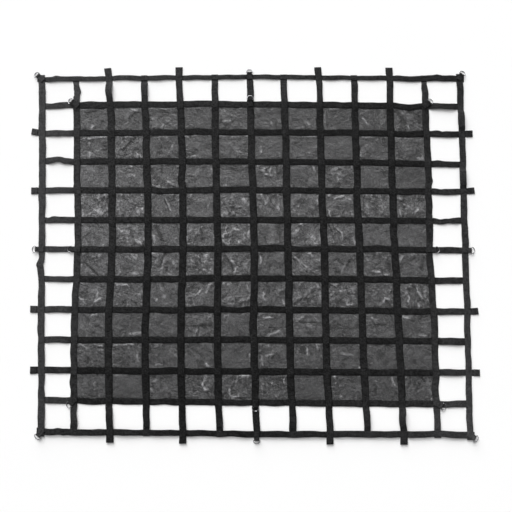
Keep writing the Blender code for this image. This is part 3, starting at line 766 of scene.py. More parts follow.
    (10.15, 10.58, 10.30, 10.68, 0, 4, -0.5),
    (10.20, 10.77, 10.80, 10.85, 0, 7, 0.2),
    (10.82, 10.72, 10.86, 10.85, 0, 7, 0.4),
    (10.35, 10.55, 10.60, 10.42, 0, 6, -0.3),
)

# Sewing: its stitches, the boxes on crossings and loops, and the two rows across a tab.
STITCH_PITCH = 4.2 * MM
STITCH_LENGTH = 3.4 * MM
STITCH_RADIUS = 0.38 * MM
BOX_ALONG = 25.0 * MM
BOX_ACROSS = 26.0 * MM
LOOP_BOX = 20.0 * MM
LOOP_BOX_FROM_TAIL = 3.0 * MM
TAB_SEAM = 30.0 * MM
TAB_SEAM_FROM_FOLD = 7.0 * MM
TAB_SEAM_FROM_TAIL = 5.0 * MM
# How many cells off a seam reads the way of its strap.
SEAM_AIM = 0.05

# Rings.
WIRE_SIDES = 14
RING_ARC_STEPS = 36
CORNER_STEPS = 6

# Light: the room's own glow, and broad lights as name, strength, width in degrees and way.
ROOM_STRENGTH = 0.30
LIGHTS = (
    ("low_far_light", 4.76, 46, (0.28, -0.87, -0.38)),
    ("high_far_light", 0.824, 24, (0.20, -0.49, -0.85)),
)

# The photograph's view: a camera tilted from the near side, and its distance to the grid.
CAMERA_TILT = math.radians(6.5)
CAMERA_DISTANCE = 4.5
CAMERA_LENS = 55.77
CAMERA_SHIFT = (0.001, -0.0098)
CAMERA_REACH = 100
FLOOR_HALF = 9.0


# ---------------------------------------------------------------------------------------------
# The laid grid.


def smooth(t):
    """0 to 1 with a soft start and end."""
    t = min(max(t, 0.0), 1.0)
    return t * t * (3 - 2 * t)


def between(row, station):
    """A smooth curve through a table row's five values, read at a row or column number."""
    along = min(max(station / STATION_STEP, 0.0), len(row) - 1)
    k = min(int(along), len(row) - 2)
    t = along - k
    a, b = row[k], row[k + 1]
    before = row[k - 1] if k > 0 else 2 * a - b
    after = row[k + 2] if k + 2 < len(row) else 2 * b - a
    slope_a = (b - before) / 2
    slope_b = (after - a) / 2
    lean_a = slope_a * t * (1 - t) * (1 - t)
    lean_b = slope_b * t * t * (1 - t)
    return a + (b - a) * smooth(t) + lean_a - lean_b


def local(changes, number, at, column=0):
    """What a table of (strap, station, half length, amounts) adds to a strap at a station: the
    first amount, or another column of them."""
    total = 0.0
    for strap_number, centre, half_length, *amounts in changes:
        if strap_number == number:
            total += amounts[column] * smooth(1 - abs(at - centre) / half_length)
    return total


def kink(kinks, number, at):
    """The sideways kink of a strap at a station, in mm."""
    changes = [(strap_number, centre, KINK_REACH, mm) for strap_number, centre, mm in kinks]
    return local(changes, number, at)


def vertical_x(col, row):
    """How far right a vertical strap lies at a row, from the middle one's even place."""
    shift = between(VERTICAL_SHIFT[col], row) + kink(VERTICAL_KINKS, col, row)
    return (col - MIDDLE) * COL_PITCH + shift * MM


def horizontal_y(row, col):
    """How far towards the far edge a horizontal strap lies at a column."""
    shift = between(HORIZONTAL_SHIFT[row], col) + kink(HORIZONTAL_KINKS, row, col)
    return (MIDDLE - row) * ROW_PITCH + shift * MM


def mixed(along, value_at):
    """value_at(whole number) carried straight between its neighbours and past the last one."""
    k = min(max(math.floor(along), 0), LAST - 1)
    a, b = value_at(k), value_at(k + 1)
    return a + (b - a) * (along - k)


def place(row, col):
    """The point of the laid net at (row, col), with the straps' wandering in it."""
    x = mixed(col, lambda k: vertical_x(k, row))
    y = mixed(row, lambda k: horizontal_y(k, col))
    return Vector((x, y, 0.0)) + GRID_MIDDLE


def goes_under_border(col):
    """A vertical strap with no tab and no ring ends under the far and near border straps."""
    return col % 2 == 1


def horizontal_height(row, col):
    """The underside of a horizontal strap at a half-cell station."""
    if row in (0, LAST):
        crossing = col == int(col) and goes_under_border(int(col))
        return HORIZONTAL_OVER_ENDS if crossing else 0.0
    if MESH_FIRST < col < MESH_LAST:
        return HORIZONTAL_ON_MESH
    if col in (MESH_FIRST, MESH_LAST):
        return HORIZONTAL_AT_MESH_EDGE
    return 0.0


def vertical_height(col, row):
    """The underside of a vertical strap at a half-cell station."""
    on_crossing = row == int(row)
    over_mesh = MESH_FIRST <= col <= MESH_LAST and MESH_FIRST <= row <= MESH_LAST
    if not on_crossing:
        return HORIZONTAL_ON_MESH if over_mesh else 0.0
    if over_mesh:
        at_edge = col in (MESH_FIRST, MESH_LAST) or row in (MESH_FIRST, MESH_LAST)
        return VERTICAL_AT_MESH_EDGE if at_edge else VERTICAL_OVER_MESH
    if row in (0, LAST) and goes_under_border(col):
        return 0.0
    return VERTICAL_OVER_OPEN


def lie(distance):
    """1 where a strap lies flat on the one it crosses, 0 where it is back down beside it."""
    return smooth((CROSSING_FLAT + CROSSING_RAMP - distance) / CROSSING_RAMP)


def rise(height_at, station, pitch):
    """The underside of a strap anywhere along it, and how firmly a crossing holds it there."""
    crossing = min(max(round(station), 0), LAST)
    side = 0.5 if station >= crossing else -0.5
    low = height_at(min(max(crossing + side, 0), LAST))
    hold = lie(abs(station - crossing) * pitch)
    return low + (height_at(crossing) - low) * hold, hold


# ---------------------------------------------------------------------------------------------
# Materials: nodes are added by one method, and sums on values add Math nodes.


class Value:
    """A number in a finish that changes over the surface. Sums on it add Math nodes."""

    def __init__(self, finish, socket):
        self.finish = finish
        self.socket = socket

    def math(self, operation, *others):
        """A Math node on this value."""
        return self.finish.math(operation, self, *others)

    def __add__(self, other):
        return self.math("ADD", other)

    def __radd__(self, other):
        return self.math("ADD", other)

    def __sub__(self, other):
        return self.math("SUBTRACT", other)

    def __rsub__(self, other):
        return self.finish.math("SUBTRACT", other, self)

    def __mul__(self, other):
        return self.math("MULTIPLY", other)

    def __rmul__(self, other):
        return self.math("MULTIPLY", other)

    def wave(self, period):
        """A sine of this value, from -1 to 1, which repeats after a period."""
        return self.math("MULTIPLY", 2 * math.pi / period).math("SINE")

    def size(self):
        """This value without its sign."""
        return self.math("ABSOLUTE")

    def at_least(self, low):
        """This value, or low wherever it is below that."""
        return self.math("MAXIMUM", low)

    def ramp(self, low, high):
        """0 below low, 1 above high, and smooth between them."""
        settings = {"interpolation_type": "SMOOTHSTEP"}
        sockets = {"Value": self, "From Min": low, "From Max": high}
        return self.finish.node("ShaderNodeMapRange", settings, sockets)


class Finish:
    """One material: its Principled shader, and the nodes that feed it."""

    def __init__(self, name):
        self.material = bpy.data.materials.new(name)
        self.material.use_nodes = True
        self.tree = self.material.node_tree
        self.shader = self.tree.nodes["Principled BSDF"]

    def feed(self, socket, value):
        """Links a value to a socket, or sets a constant on it."""
        if isinstance(value, Value):
            self.tree.links.new(value.socket, socket)
        else:
            socket.default_value = value

    def node(self, kind, settings=None, sockets=None, output=0):
        """Any node: its type, its settings first, then the values or links of its sockets."""
        made = self.tree.nodes.new(kind)
        for key, value in (settings or {}).items():
            setattr(made, key, value)
        for key, value in (sockets or {}).items():
            self.feed(made.inputs[key], value)
        return Value(self, made.outputs[output])

    def math(self, operation, *values):
        """A Math node on values or constants."""
        return self.node("ShaderNodeMath", {"operation": operation}, dict(enumerate(values)))

    def mix(self, factor, first, second):
        """One colour or another, by a factor. A Mix node has sockets of one name for numbers,
        vectors and colours, so those for colours go by their numbers."""
        sockets = {"Factor": factor, 6: first, 7: second}
        return self.node("ShaderNodeMix", {"data_type": "RGBA"}, sockets, 2)

    def noise(self, vector, scale, detail, roughness, distortion=0.0):
        """Soft spots, about 0 to 1, with so many to the metre."""
        sockets = {
            "Vector": vector,
            "Scale": scale,
            "Detail": detail,
            "Roughness": roughness,
            "Distortion": distortion,
        }
        return self.node("ShaderNodeTexNoise", None, sockets)

    def place(self):
        """The point on the piece, in metres."""
        return self.node("ShaderNodeTexCoord", output="Object")

    def cloth_place(self):
        """Where a point lies along the cloth and across it, in mm, from its own UV map."""
        spot = self.node("ShaderNodeUVMap", {"uv_map": "cloth"})
        along = self.node("ShaderNodeSeparateXYZ", None, {"Vector": spot}, "X")
        across = self.node("ShaderNodeSeparateXYZ", None, {"Vector": spot}, "Y")
        return along * (1 / MM), across * (1 / MM)

    def painted(self, name):
        """A number painted on the mesh, read where the surface is."""
        return self.node("ShaderNodeAttribute", {"attribute_name": name}, output=2)

    def bump(self, height, distance, strength=1.0):
        """The surface's normal with a relief in it, its depth in metres."""
        sockets = {"Height": height, "Distance": distance, "Strength": strength}
        return self.node("ShaderNodeBump", None, sockets)

    def set(self, **inputs):
        """The shader's own sockets, named with _ for a space."""
        for key, value in inputs.items():
            self.feed(self.shader.inputs[key.replace("_", " ")], value)


def grey(tone):
    """A grey a breath to the blue side."""
    return (tone, tone, tone * 1.03, 1.0)


# Each noise below is its spots to the metre, detail, roughness and, for some, distortion.

# The webbing's weave, in mm: its ribs, its slanted picks, and where its tight selvedge starts.
RIB_PERIOD = 2.1
PICK_PERIOD = 1.5
HERRINGBONE = 9.5
PICK_SLANT = 0.55
SELVEDGE = (15.0, 17.8)
WEAVE_DEPTH = 0.22 * MM
# Its wear: broad patches, grain, and the fluff of single threads.
WEAR = (38.0, 3.0, 0.6)
GRAIN = (105.0, 2.0, 0.6)
FLUFF = (240.0, 3.0, 0.6)
# How much each part changes its tone and its relief.
WEAR_TONE = 0.90
GRAIN_TONE = 1.60
FLUFF_TONE = 0.40
SELVEDGE_TONE = 0.12
WEAVE_TONE = 0.02
SELVEDGE_RELIEF = 0.8
FLUFF_RELIEF = 2.0
GRAIN_RELIEF = 20.0
# Even the darkest webbing shows this much of its wear. The two colours below are the ends of its
# tone, which the painted light and shade of its grey and its wear set.
LEAST_WORN = 0.1
DARKEST_WEBBING = 0.0020
PALEST_WEBBING = 0.0560


def webbing_finish():
    """Woven black webbing: lengthwise ribs, slanted picks, a tight selvedge drawn darker, and a
    nap whose grey is painted light and shade, with random wear in it.
    """
    finish = Finish("webbing_weave")
    along, across = finish.cloth_place()
    spot = finish.place()
    slant = across.math("PINGPONG", HERRINGBONE) * PICK_SLANT
    picks = (along + slant).wave(PICK_PERIOD)
    weave = across.wave(RIB_PERIOD) * 0.5 + picks * 0.5
    edge = across.size().ramp(*SELVEDGE)
    wear = finish.noise(spot, *WEAR)
    grain = finish.noise(spot, *GRAIN)
    fluff = finish.noise(spot, *FLUFF)
    # The grey painted on each strap: painted light and shade.
    lit_grey = finish.painted("grey")
    uneven = (wear - 0.5) * WEAR_TONE + (grain - 0.5) * GRAIN_TONE
    nap = lit_grey * lit_grey + (lit_grey + LEAST_WORN) * uneven
    # Darker along the selvedges, the more so the lighter the strap is drawn.
    nap = nap - edge * SELVEDGE_TONE * lit_grey + weave * WEAVE_TONE
    nap = nap + (fluff - 0.5) * FLUFF_TONE
    relief = weave + edge * SELVEDGE_RELIEF + fluff * FLUFF_RELIEF + grain * GRAIN_RELIEF
    finish.set(
        Base_Color=finish.mix(nap.at_least(0.0), grey(DARKEST_WEBBING), grey(PALEST_WEBBING)),
        Roughness=0.62 + wear * 0.2,
        Normal=finish.bump(relief, WEAVE_DEPTH, 0.8),
        Specular_IOR_Level=0.12,
    )
    return finish.material


# The mesh's knit, in mm, and from where on in it its small eyes are open: the paler the mesh is
# painted, its painted highlights included, the sooner, and more of the floor shows through.
KNIT_ALONG = 2.6
KNIT_ACROSS = 2.0
EYE_EDGE = 0.86
EYE_EDGE_PALE = 0.06
# Its unevenness, from the broadest patches to single glints of yarn, and its crinkled surface.
PATCH = (9.0, 2.0, 0.5)
MOTTLE = (34.0, 3.0, 0.65)
YARN = (115.0, 2.0, 0.6)
GLINT = (210.0, 1.0, 0.5)
CRINKLE = (52.0, 4.0, 0.62, 1.2)
# Its fine lines: dark creases painted as shade, and bright curls painted as highlights on and
# beside the folds. Each has the noise whose middle it follows, how wide it is there, the noise
# of the patches that it shows in, and where these start and are full.
CREASE = (21.0, 2.0, 0.45, 0.8)
CREASE_WIDTH = 0.065
CREASE_PATCH = (12.0, 2.0, 0.5)
CREASE_SHOWS = (0.42, 0.60)
CURL = (38.0, 2.0, 0.45, 0.8)
CURL_WIDTH = 0.07
CURL_PATCH = (15.0, 1.0, 0.5)
CURL_SHOWS = (0.46, 0.62)
CURL_MEAN = 0.30
# A fold's painted highlight is drawn out into curls where it is paler than this.
CURL_FROM = 0.15
# The yarn's tone: its ground, and how much each part changes it. The pale brings in the folds'
# painted highlights and shade, the curls painted highlights, and the creases painted shade.
GROUND_TONE = 0.400
PALE_TONE = 0.80
FOLD_CURL_HIGHLIGHT = 1.7
LOOSE_CURL_HIGHLIGHT = 0.26
MOTTLE_TONE = 0.48
PATCH_TONE = 0.20
YARN_TONE = 1.25
GLINT_TONE = 1.10
CREASE_SHADE = 0.38
# The calmest mesh still shows this much of its unevenness.
LEAST_ROUGH = 0.20
DARK_MESH = 0.010
PALE_MESH = 0.300
# Its relief: how much each part stands out or sinks in, and how deep the whole is.
CRINKLE_RELIEF = 4.0
CREASE_RELIEF = 0.8
YARN_RELIEF = 0.3
MESH_DEPTH = 1.0 * MM


def fine_lines(finish, spot, lines, width):
    """Thin lines that wander where a noise passes its middle: 1 on a line, and 0 off it."""
    return 1.0 - (finish.noise(spot, *lines) - 0.5).size().ramp(0.0, width)


def mesh_finish():
    """Fine knitted mesh of glossy dark yarn, open in rows of small eyes: smooth where it lies
    calm, and creased, curled and glinting where it is restless. Its painted pale brings the
    folds' painted highlights and shade, its curls are painted highlights, and its creases painted
    shade."""
    finish = Finish("knitted_mesh")
    along, across = finish.cloth_place()
    spot = finish.place()
    pale = finish.painted("pale")
    unrest = finish.painted("unrest")
    knit = (along.wave(KNIT_ALONG) * across.wave(KNIT_ACROSS)).size()
    # More eyes open where the mesh is painted paler, painted highlights included.
    eye = knit.math("GREATER_THAN", EYE_EDGE - pale * EYE_EDGE_PALE)
    patch = finish.noise(spot, *PATCH)
    mottle = finish.noise(spot, *MOTTLE)
    yarn = finish.noise(spot, *YARN)
    glint = finish.noise(spot, *GLINT)
    crinkle = finish.noise(spot, *CRINKLE)
    crease = fine_lines(finish, spot, CREASE, CREASE_WIDTH)
    crease = crease * finish.noise(spot, *CREASE_PATCH).ramp(*CREASE_SHOWS)
    curl = fine_lines(finish, spot, CURL, CURL_WIDTH) - CURL_MEAN
    on_fold = pale.at_least(CURL_FROM) - CURL_FROM
    beside_fold = finish.noise(spot, *CURL_PATCH).ramp(*CURL_SHOWS) * unrest
    rough = unrest + LEAST_ROUGH
    # The painted pale brings in the folds' painted highlights and shade.
    light = GROUND_TONE + pale * PALE_TONE
    # Painted highlights: curls on the folds, and loose curls in restless patches.
    light = light + curl * (on_fold * FOLD_CURL_HIGHLIGHT + beside_fold * LOOSE_CURL_HIGHLIGHT)
    light = light + (mottle - 0.5) * rough * MOTTLE_TONE + (patch - 0.5) * PATCH_TONE
    light = light + ((yarn - 0.5) * YARN_TONE + (glint - 0.5) * GLINT_TONE) * rough
    # The crease lines darken the colour as painted shade.
    light = (light - crease * rough * CREASE_SHADE).at_least(0.0)
    relief = crinkle * CRINKLE_RELIEF - crease * CREASE_RELIEF - knit * YARN_RELIEF
    finish.set(
        Base_Color=finish.mix(light * light, grey(DARK_MESH), grey(PALE_MESH)),
        Roughness=0.40 - pale * 0.12 + (mottle - 0.5) * 0.2,
        Alpha=1.0 - eye,
        Normal=finish.bump(relief, MESH_DEPTH),
        Specular_IOR_Level=0.6,
    )
    return finish.material


# Steel's dull places and the fine marks of drawing, thread's twist, and the floor's faint cloud.
DULL = (160.0, 3.0, 0.6)
DRAWN = (1400.0, 2.0, 0.5)
DRAWN_DEPTH = 0.06 * MM
DARK_STEEL = 0.22
BRIGHT_STEEL = 0.44
TWIST = (900.0, 2.0, 0.5)
DARK_THREAD = 0.016
PALE_THREAD = 0.050
CLOUD = (3.0, 2.0, 0.5)


def steel_finish():
    """Bright drawn steel wire, faintly brushed and dulled here and there."""
    finish = Finish("bright_steel")
    spot = finish.place()
    dull = finish.noise(spot, *DULL)
    drawn = finish.noise(spot, *DRAWN)
    finish.set(
        Base_Color=finish.mix(dull, grey(DARK_STEEL), grey(BRIGHT_STEEL)),
        Roughness=0.16 + dull * 0.16,
        Metallic=1.0,
        Normal=finish.bump(drawn, DRAWN_DEPTH, 0.35),
    )
    return finish.material


def thread_finish():
    """Bonded black sewing thread, a little shinier than the webbing."""
    finish = Finish("sewing_thread")
    twist = finish.noise(finish.place(), *TWIST)
    finish.set(
        Base_Color=finish.mix(twist, grey(DARK_THREAD), grey(PALE_THREAD)),
        Roughness=0.45 + twist * 0.15,
        Specular_IOR_Level=0.45,
    )
    return finish.material


def floor_finish():
    """Plain matt white, very faintly clouded."""
    finish = Finish("white_floor")
    cloud = finish.noise(finish.place(), *CLOUD)
    finish.set(
        Base_Color=finish.mix(cloud, (0.90, 0.90, 0.90, 1.0), (0.91, 0.91, 0.91, 1.0)),
        Roughness=0.7,
        Specular_IOR_Level=0.1,
    )
    return finish.material


# ---------------------------------------------------------------------------------------------
# Meshes.

Station = namedtuple("Station", "middle normal sideways width grey")


def mesh_object(name, points, faces, material):
    """A new object of these points and faces, linked to the scene."""
    mesh = bpy.data.meshes.new(name)
    mesh.from_pydata([tuple(p) for p in points], [], faces)
    mesh.materials.append(material)
    mesh.update()
    made = bpy.data.objects.new(name, mesh)
    bpy.context.scene.collection.objects.link(made)
    return made


def paint(made, name, values):
    """Paints one number on every point of a mesh."""
    attribute = made.data.attributes.new(name, "FLOAT", "POINT")
    attribute.data.foreach_set("value", values)


def lay_uv(made, spots):
    """Gives every corner its point's place in the cloth, in metres, as the UV map "cloth"."""
    layer = made.data.uv_layers.new(name="cloth")
    for corner in made.data.loops:
        layer.data[corner.index].uv = spots[corner.vertex_index]


def section(width, thick):
    """Webbing cut across, as (sideways, up) from the left over the top and back underneath:
    flat faces with a slight crown, and round selvedges."""
    radius = thick / 2
    flat = width / 2 - radius
    outline = []
    for share in (-1, -0.5, 0, 0.5, 1):
        outline.append((flat * share, radius + CROWN * (1 - share * share)))
    for degrees in (45, 0, -45):
        angle = math.radians(degrees)
        outline.append((flat + radius * math.cos(angle), radius * math.sin(angle)))
    return outline + [(-side, -up) for side, up in outline]


def webbing_strip(name, stations, thick, material):
    """A closed strip of webbing through its stations, with its weave laid along it."""
    points, spots, tones = [], [], []
    along = 0.0
    for k, station in enumerate(stations):
        if k:
            along += (station.middle - stations[k - 1].middle).length
        outline = section(station.width, thick)
        for side, up in outline:
            points.append(station.middle + station.sideways * side + station.normal * up)
            spots.append((along, side / station.width * FULL_WIDTH))
            tones.append(station.grey)
    count = len(outline)
    faces = [tuple(range(count - 1, -1, -1))]
    for k in range(len(stations) - 1):
        a, b = count * k, count * (k + 1)
        for step in range(count):
            after = (step + 1) % count
            faces.append((a + step, a + after, b + after, b + step))
    last = count * (len(stations) - 1)
    faces.append(tuple(range(last, last + count)))
    made = mesh_object(name, points, faces, material)
    made.data.shade_smooth()
    for end in (0, len(faces) - 1):
        made.data.polygons[end].use_smooth = False
    lay_uv(made, spots)
    # Each point carries its strap's grey, the painted light and shade of the webbing.
    paint(made, "grey", tones)
    return made


def turned(station, degrees):
    """A station rolled about the way the strap runs, its lower selvedge kept where it was."""
    angle = math.radians(degrees)
    sideways = station.sideways * math.cos(angle) + station.normal * math.sin(angle)
    normal = station.normal * math.cos(angle) - station.sideways * math.sin(angle)
    lift = station.normal * abs(math.sin(angle)) * station.width / 2
    return station._replace(
        middle=station.middle + lift, normal=normal.normalized(), sideways=sideways.normalized()
    )


def filled(path):
    """A path of stations with more stations put in wherever two stand far apart."""
    full = [path[0]]
    for a, b in zip(path, path[1:]):
        steps = max(1, round((b.middle - a.middle).length / PATH_STEP))
        for step in range(1, steps + 1):
            t = step / steps
            full.append(
                Station(
                    a.middle.lerp(b.middle, t),
                    a.normal.lerp(b.normal, t).normalized(),
                    a.sideways.lerp(b.sideways, t).normalized(),
                    a.width + (b.width - a.width) * t,
                    a.grey + (b.grey - a.grey) * t,
                )
            )
    return full


# ---------------------------------------------------------------------------------------------
# Straps.

TAB_TURN_STEPS = 8

# What sets the vertical straps apart from the horizontal ones: their letter, their first seed,
# what station `at` of strap `number` is as (row, col), how far apart the straps lie that they
# cross, their underside and width there, which way their tabs fold and how far the two reach, and
# their tables.
Kind = namedtuple(
    "Kind",
    "letter seed grid pitch height width folds_up tab_reaches tab_turns "
    "rolls arches wrinkles greys open_greys",
)
End = namedtuple("End", "folded reach turn")


def tab_turn(end, outward, low, high):
    """The half turn at a tab's end: points on the webbing's middle, and the normal at each."""
    middle = (low + high) / 2
    radius = abs(high - low) / 2
    rise_way = 1 if high > low else -1
    turn = []
    for step in range(1, TAB_TURN_STEPS):
        angle = math.pi * step / TAB_TURN_STEPS
        out = math.sin(angle) * radius
        up = -math.cos(angle) * radius * rise_way
        point = end + outward * out + UP * (middle + up)
        normal = (outward * out + UP * up).normalized()
        turn.append((point, normal * -rise_way))
    return turn


def tab_path(crossing, outward, reach, folds_up):
    """The folded tab past a border crossing, as (point, normal, width added) from the net out.
    The fold goes up and back over the strap, or down and back under it."""
    lower = WEB_THICK / 2
    upper = lower + WEB_THICK + TAB_LAYER_GAP
    out_level, back_level = (lower, upper) if folds_up else (upper, lower)
    run = reach - TAB_RETURN
    start = crossing + outward * TAB_RETURN
    end = crossing + outward * reach
    path = [
        (start + UP * out_level, UP, TAB_EXTRA_WIDTH / 2),
        (start + outward * run / 2 + UP * out_level, UP, TAB_EXTRA_WIDTH),
        (end + UP * out_level, UP, TAB_EXTRA_WIDTH),
    ]
    for point, normal in tab_turn(end, outward, out_level, back_level):
        path.append((point, normal, TAB_EXTRA_WIDTH))
    path.append((end + UP * back_level, -UP, TAB_EXTRA_WIDTH))
    path.append((start + UP * back_level, -UP, TAB_EXTRA_WIDTH))
    return path


def strap_ends(kind, number):
    """What the two ends of a strap do: fold into tabs, poke past a corner or just stop."""
    if number in TAB_STRAPS:
        turns = {end: degrees for strap, end, degrees in kind.tab_turns if strap == number}
        return [End(True, reach, turns.get(end, 0)) for end, reach in enumerate(kind.tab_reaches)]
    reach = CORNER_REACH if number in (0, LAST) else PLAIN_REACH
    return [End(False, reach, 0)] * 2


def strap_end(edge, inner, off_floor, end, folds_up):
    """The stations past a strap's last crossing, from the crossing out."""
    level = Vector((1, 1, 0))
    swing = Matrix.Rotation(math.radians(end.turn), 3, "Z")
    outward = swing @ ((edge.middle - inner.middle) * level).normalized()
    if not end.folded:
        return filled([edge, edge._replace(middle=edge.middle + outward * end.reach)])[1:]
    sideways = swing @ edge.sideways
    crossing = edge.middle * level + UP * off_floor
    path = [edge]
    for point, normal, extra in tab_path(crossing, outward, end.reach, folds_up):
        path.append(Station(point, normal, sideways, edge.width + extra, edge.grey))
    return filled(path)[1:]


def strap_grey(kind, number, at):
    """How grey a strap is drawn at a station, its painted light and shade: from its first end
    through its middle to its last, and the inner straps are painted greyer past the mesh."""
    first, middle, last = kind.greys[number]
    half = at / MIDDLE - 1
    tone = middle + ((first if half < 0 else last) - middle) * abs(half)
    if number not in (0, LAST):
        tone += kind.open_greys[0] * smooth((MESH_FIRST - at) / OPEN_GREY_EASE)
        tone += kind.open_greys[1] * smooth((at - MESH_LAST) / OPEN_GREY_EASE)
    return tone


def stand(row, col):
    """How far the whole net stands off the floor at a place, beyond the thickness under it."""
    near = NEAR_STAND * smooth((row - LAST) / STAND_EASE + 1)
    far = FAR_STAND * smooth(1 - row / STAND_EASE)
    side = SIDE_STAND * smooth((abs(col - MIDDLE) - MIDDLE) / STAND_EASE + 1)
    return max(near, far, side)


def strays(how, along, seed):
    """How far a strap strays in one way (amount, span, draw) at a distance along it."""
    amount, span, draw = how
    return noise.noise(Vector((along / span, seed, draw))) * amount


def lay_strap(kind, number):
    """The stations of one strap from its first crossing to its last: it lies flat on what it
    crosses, and wanders, ripples and rolls a little between."""
    seed = number * SEED_STEP + kind.seed
    stations = []
    for step in range(LAST * STEPS_PER_CELL + 1):
        at = step / STEPS_PER_CELL
        here, ahead, behind = (place(*kind.grid(number, at + aim)) for aim in (0, AIM, -AIM))
        sideways = (ahead - behind).normalized().cross(UP)
        underside, hold = rise(lambda crossing: kind.height(number, crossing), at, kind.pitch)
        free = 1 - hold
        along = at * kind.pitch
        aside = strays(WANDER, along, seed) + strays(EDGE_WANDER, along, seed)
        aside -= local(kind.wrinkles, number, at) * MM
        ripple = strays(RIPPLE, along, seed) + RIPPLE[0] / 2
        width = kind.width(number, at)
        width += strays(SWELL, along, seed) + strays(FINE_SWELL, along, seed)
        width += local(kind.wrinkles, number, at, 1) * MM
        roll = strays(ROLL, along, seed) + local(kind.rolls, number, at)
        arch = local(kind.arches, number, at) * MM
        if number in (0, LAST) or not MESH_FIRST < at < MESH_LAST:
            arch += OPEN_ARCH
        underside += free * (max(ripple, 0) + arch) + stand(*kind.grid(number, at))
        middle = here + sideways * aside + UP * (underside + WEB_THICK / 2)
        flat = Station(middle, UP, sideways, width, strap_grey(kind, number, at))
        stations.append(turned(flat, roll * free))
    return stations


def vertical_width(col, row):
    """How wide a vertical strap lies at a station, before its wrinkles."""
    if not MESH_FIRST < col < MESH_LAST:
        return VERTICAL_WIDTH
    on_mesh = min(row - MESH_FIRST, MESH_LAST - row)
    return VERTICAL_WIDTH + MESH_SPREAD * smooth(on_mesh / MESH_SPREAD_EASE)


def horizontal_width(row, _col):
    """How wide a horizontal strap lies, before its wrinkles."""
    return FAR_BORDER_WIDTH if row == 0 else HORIZONTAL_WIDTH


VERTICAL = Kind(
    letter="v",
    seed=0.0,
    grid=lambda number, at: (at, number),
    pitch=ROW_PITCH,
    height=vertical_height,
    width=vertical_width,
    folds_up=False,
    tab_reaches=(TAB_REACH, NEAR_TAB_REACH),
    tab_turns=VERTICAL_TAB_TURNS,
    rolls=VERTICAL_ROLLS,
    arches=VERTICAL_ARCHES,
    wrinkles=VERTICAL_WRINKLES,
    greys=VERTICAL_GREY,
    open_greys=VERTICAL_OPEN_GREY,
)
HORIZONTAL = Kind(
    letter="h",
    seed=HORIZONTAL_SEED,
    grid=lambda number, at: (number, at),
    pitch=COL_PITCH,
    height=horizontal_height,
    width=horizontal_width,
    folds_up=True,
    tab_reaches=(TAB_REACH, TAB_REACH),
    tab_turns=HORIZONTAL_TAB_TURNS,
    rolls=HORIZONTAL_ROLLS,
    arches=HORIZONTAL_ARCHES,
    wrinkles=HORIZONTAL_WRINKLES,
    greys=HORIZONTAL_GREY,
    open_greys=HORIZONTAL_OPEN_GREY,
)


def strap(kind, number, material):
    """One whole strap, with both its ends."""
    stations = lay_strap(kind, number)
    first_end, last_end = strap_ends(kind, number)
    low, high = stand(*kind.grid(number, 0)), stand(*kind.grid(number, LAST))
    first = strap_end(stations[0], stations[1], low, first_end, kind.folds_up)
    last = strap_end(stations[-1], stations[-2], high, last_end, kind.folds_up)
    name = f"webbing_{kind.letter}{number:02d}"
    return webbing_strip(name, first[::-1] + stations + last, WEB_THICK, material)


# ---------------------------------------------------------------------------------------------
# Mesh panel.

Fold = namedtuple("Fold", "start way bow length half_width strength")


def mesh_lines(steps, pitch):
    """Line places across the mesh: close together where a cell shows, one step under a strap."""
    cover = STRAP_COVER / pitch
    lines = [MESH_FIRST - MESH_HEM / pitch]
    for cell in range(MESH_FIRST, MESH_LAST):
        for step in range(steps + 1):
            lines.append(cell + cover + (1 - 2 * cover) * step / steps)
    lines.append(MESH_LAST + MESH_HEM / pitch)
    return lines


def ease_off_straps(row, col):
    """0 under and beside a strap, 1 where the mesh is free of it."""
    away_col = (0.5 - abs(col % 1 - 0.5)) * COL_PITCH
    away_row = (0.5 - abs(row % 1 - 0.5)) * ROW_PITCH
    return smooth((min(away_col, away_row) - VERTICAL_WIDTH / 2) / MESH_EASE)


def crumple(spot):
    """Two things at a place: long soft wrinkles that run a new way in every patch, from about -1
    to 1, and the few sharp pinches among them, from 0 up."""
    warp = noise.noise(spot / WARP_SPAN)
    turn = noise.noise(spot / PUCKER_SPAN / CRUMPLE_TURN_PUCKERS + UP * TURN_DRAW)
    run = Matrix.Rotation(turn * CRUMPLE_TURN, 3, "Z") @ spot
    long, wide = run.x / CRUMPLE_LONG, run.y / CRUMPLE_WIDE
    wrinkle = noise.noise(Vector((long + warp, wide + warp, CRUMPLE_DRAW)))
    pinch = noise.noise(spot / PINCH_SPAN + Vector((0, warp, PINCH_DRAW)))
    return wrinkle, max(pinch - PINCH_START, 0.0) * PINCH_GAIN


def folds_by_cell():
    """The folds as lines on the laid panel, listed under the cell that each one starts in."""
    cells = {}
    for row_a, col_a, row_b, col_b, bow, half_width, strength in MESH_FOLDS:
        start = place(row_a, col_a)
        run = place(row_b, col_b) - start
        way = run.normalized()
        fold = Fold(start, way, way.cross(UP) * bow * MM, run.length, half_width * MM, strength)
        cells.setdefault((int(row_a), int(col_a)), []).append(fold)
    return cells


def felt(fold, spot):
    """How much of a fold is felt at a place: all on its line, and half at its half width."""
    along = min(max((spot - fold.start).dot(fold.way), 0.0), fold.length)
    share = along / fold.length if fold.length else 0.5
    line = fold.start + fold.way * along + fold.bow * 4 * share * (1 - share)
    return fold.strength * smooth(1 - (spot - line).length / (2 * fold.half_width))


def panel_pale(row, col):
    """How pale the whole panel lies at a place, apart from its folds."""
    off_row = abs(row - PALE_ROW) / (MESH_LAST - MESH_FIRST) * 2
    off_col = (col - MESH_FIRST) / (MESH_LAST - MESH_FIRST)
    even = smooth((row - PALE_EVEN_ROW) / PALE_EVEN_SPAN)
    col_fall = PALE_COL_FALL + (PALE_COL_FALL_NEAR - PALE_COL_FALL) * even
    return PANEL_PALE - PALE_ROW_FALL * smooth(off_row) - col_fall * off_col


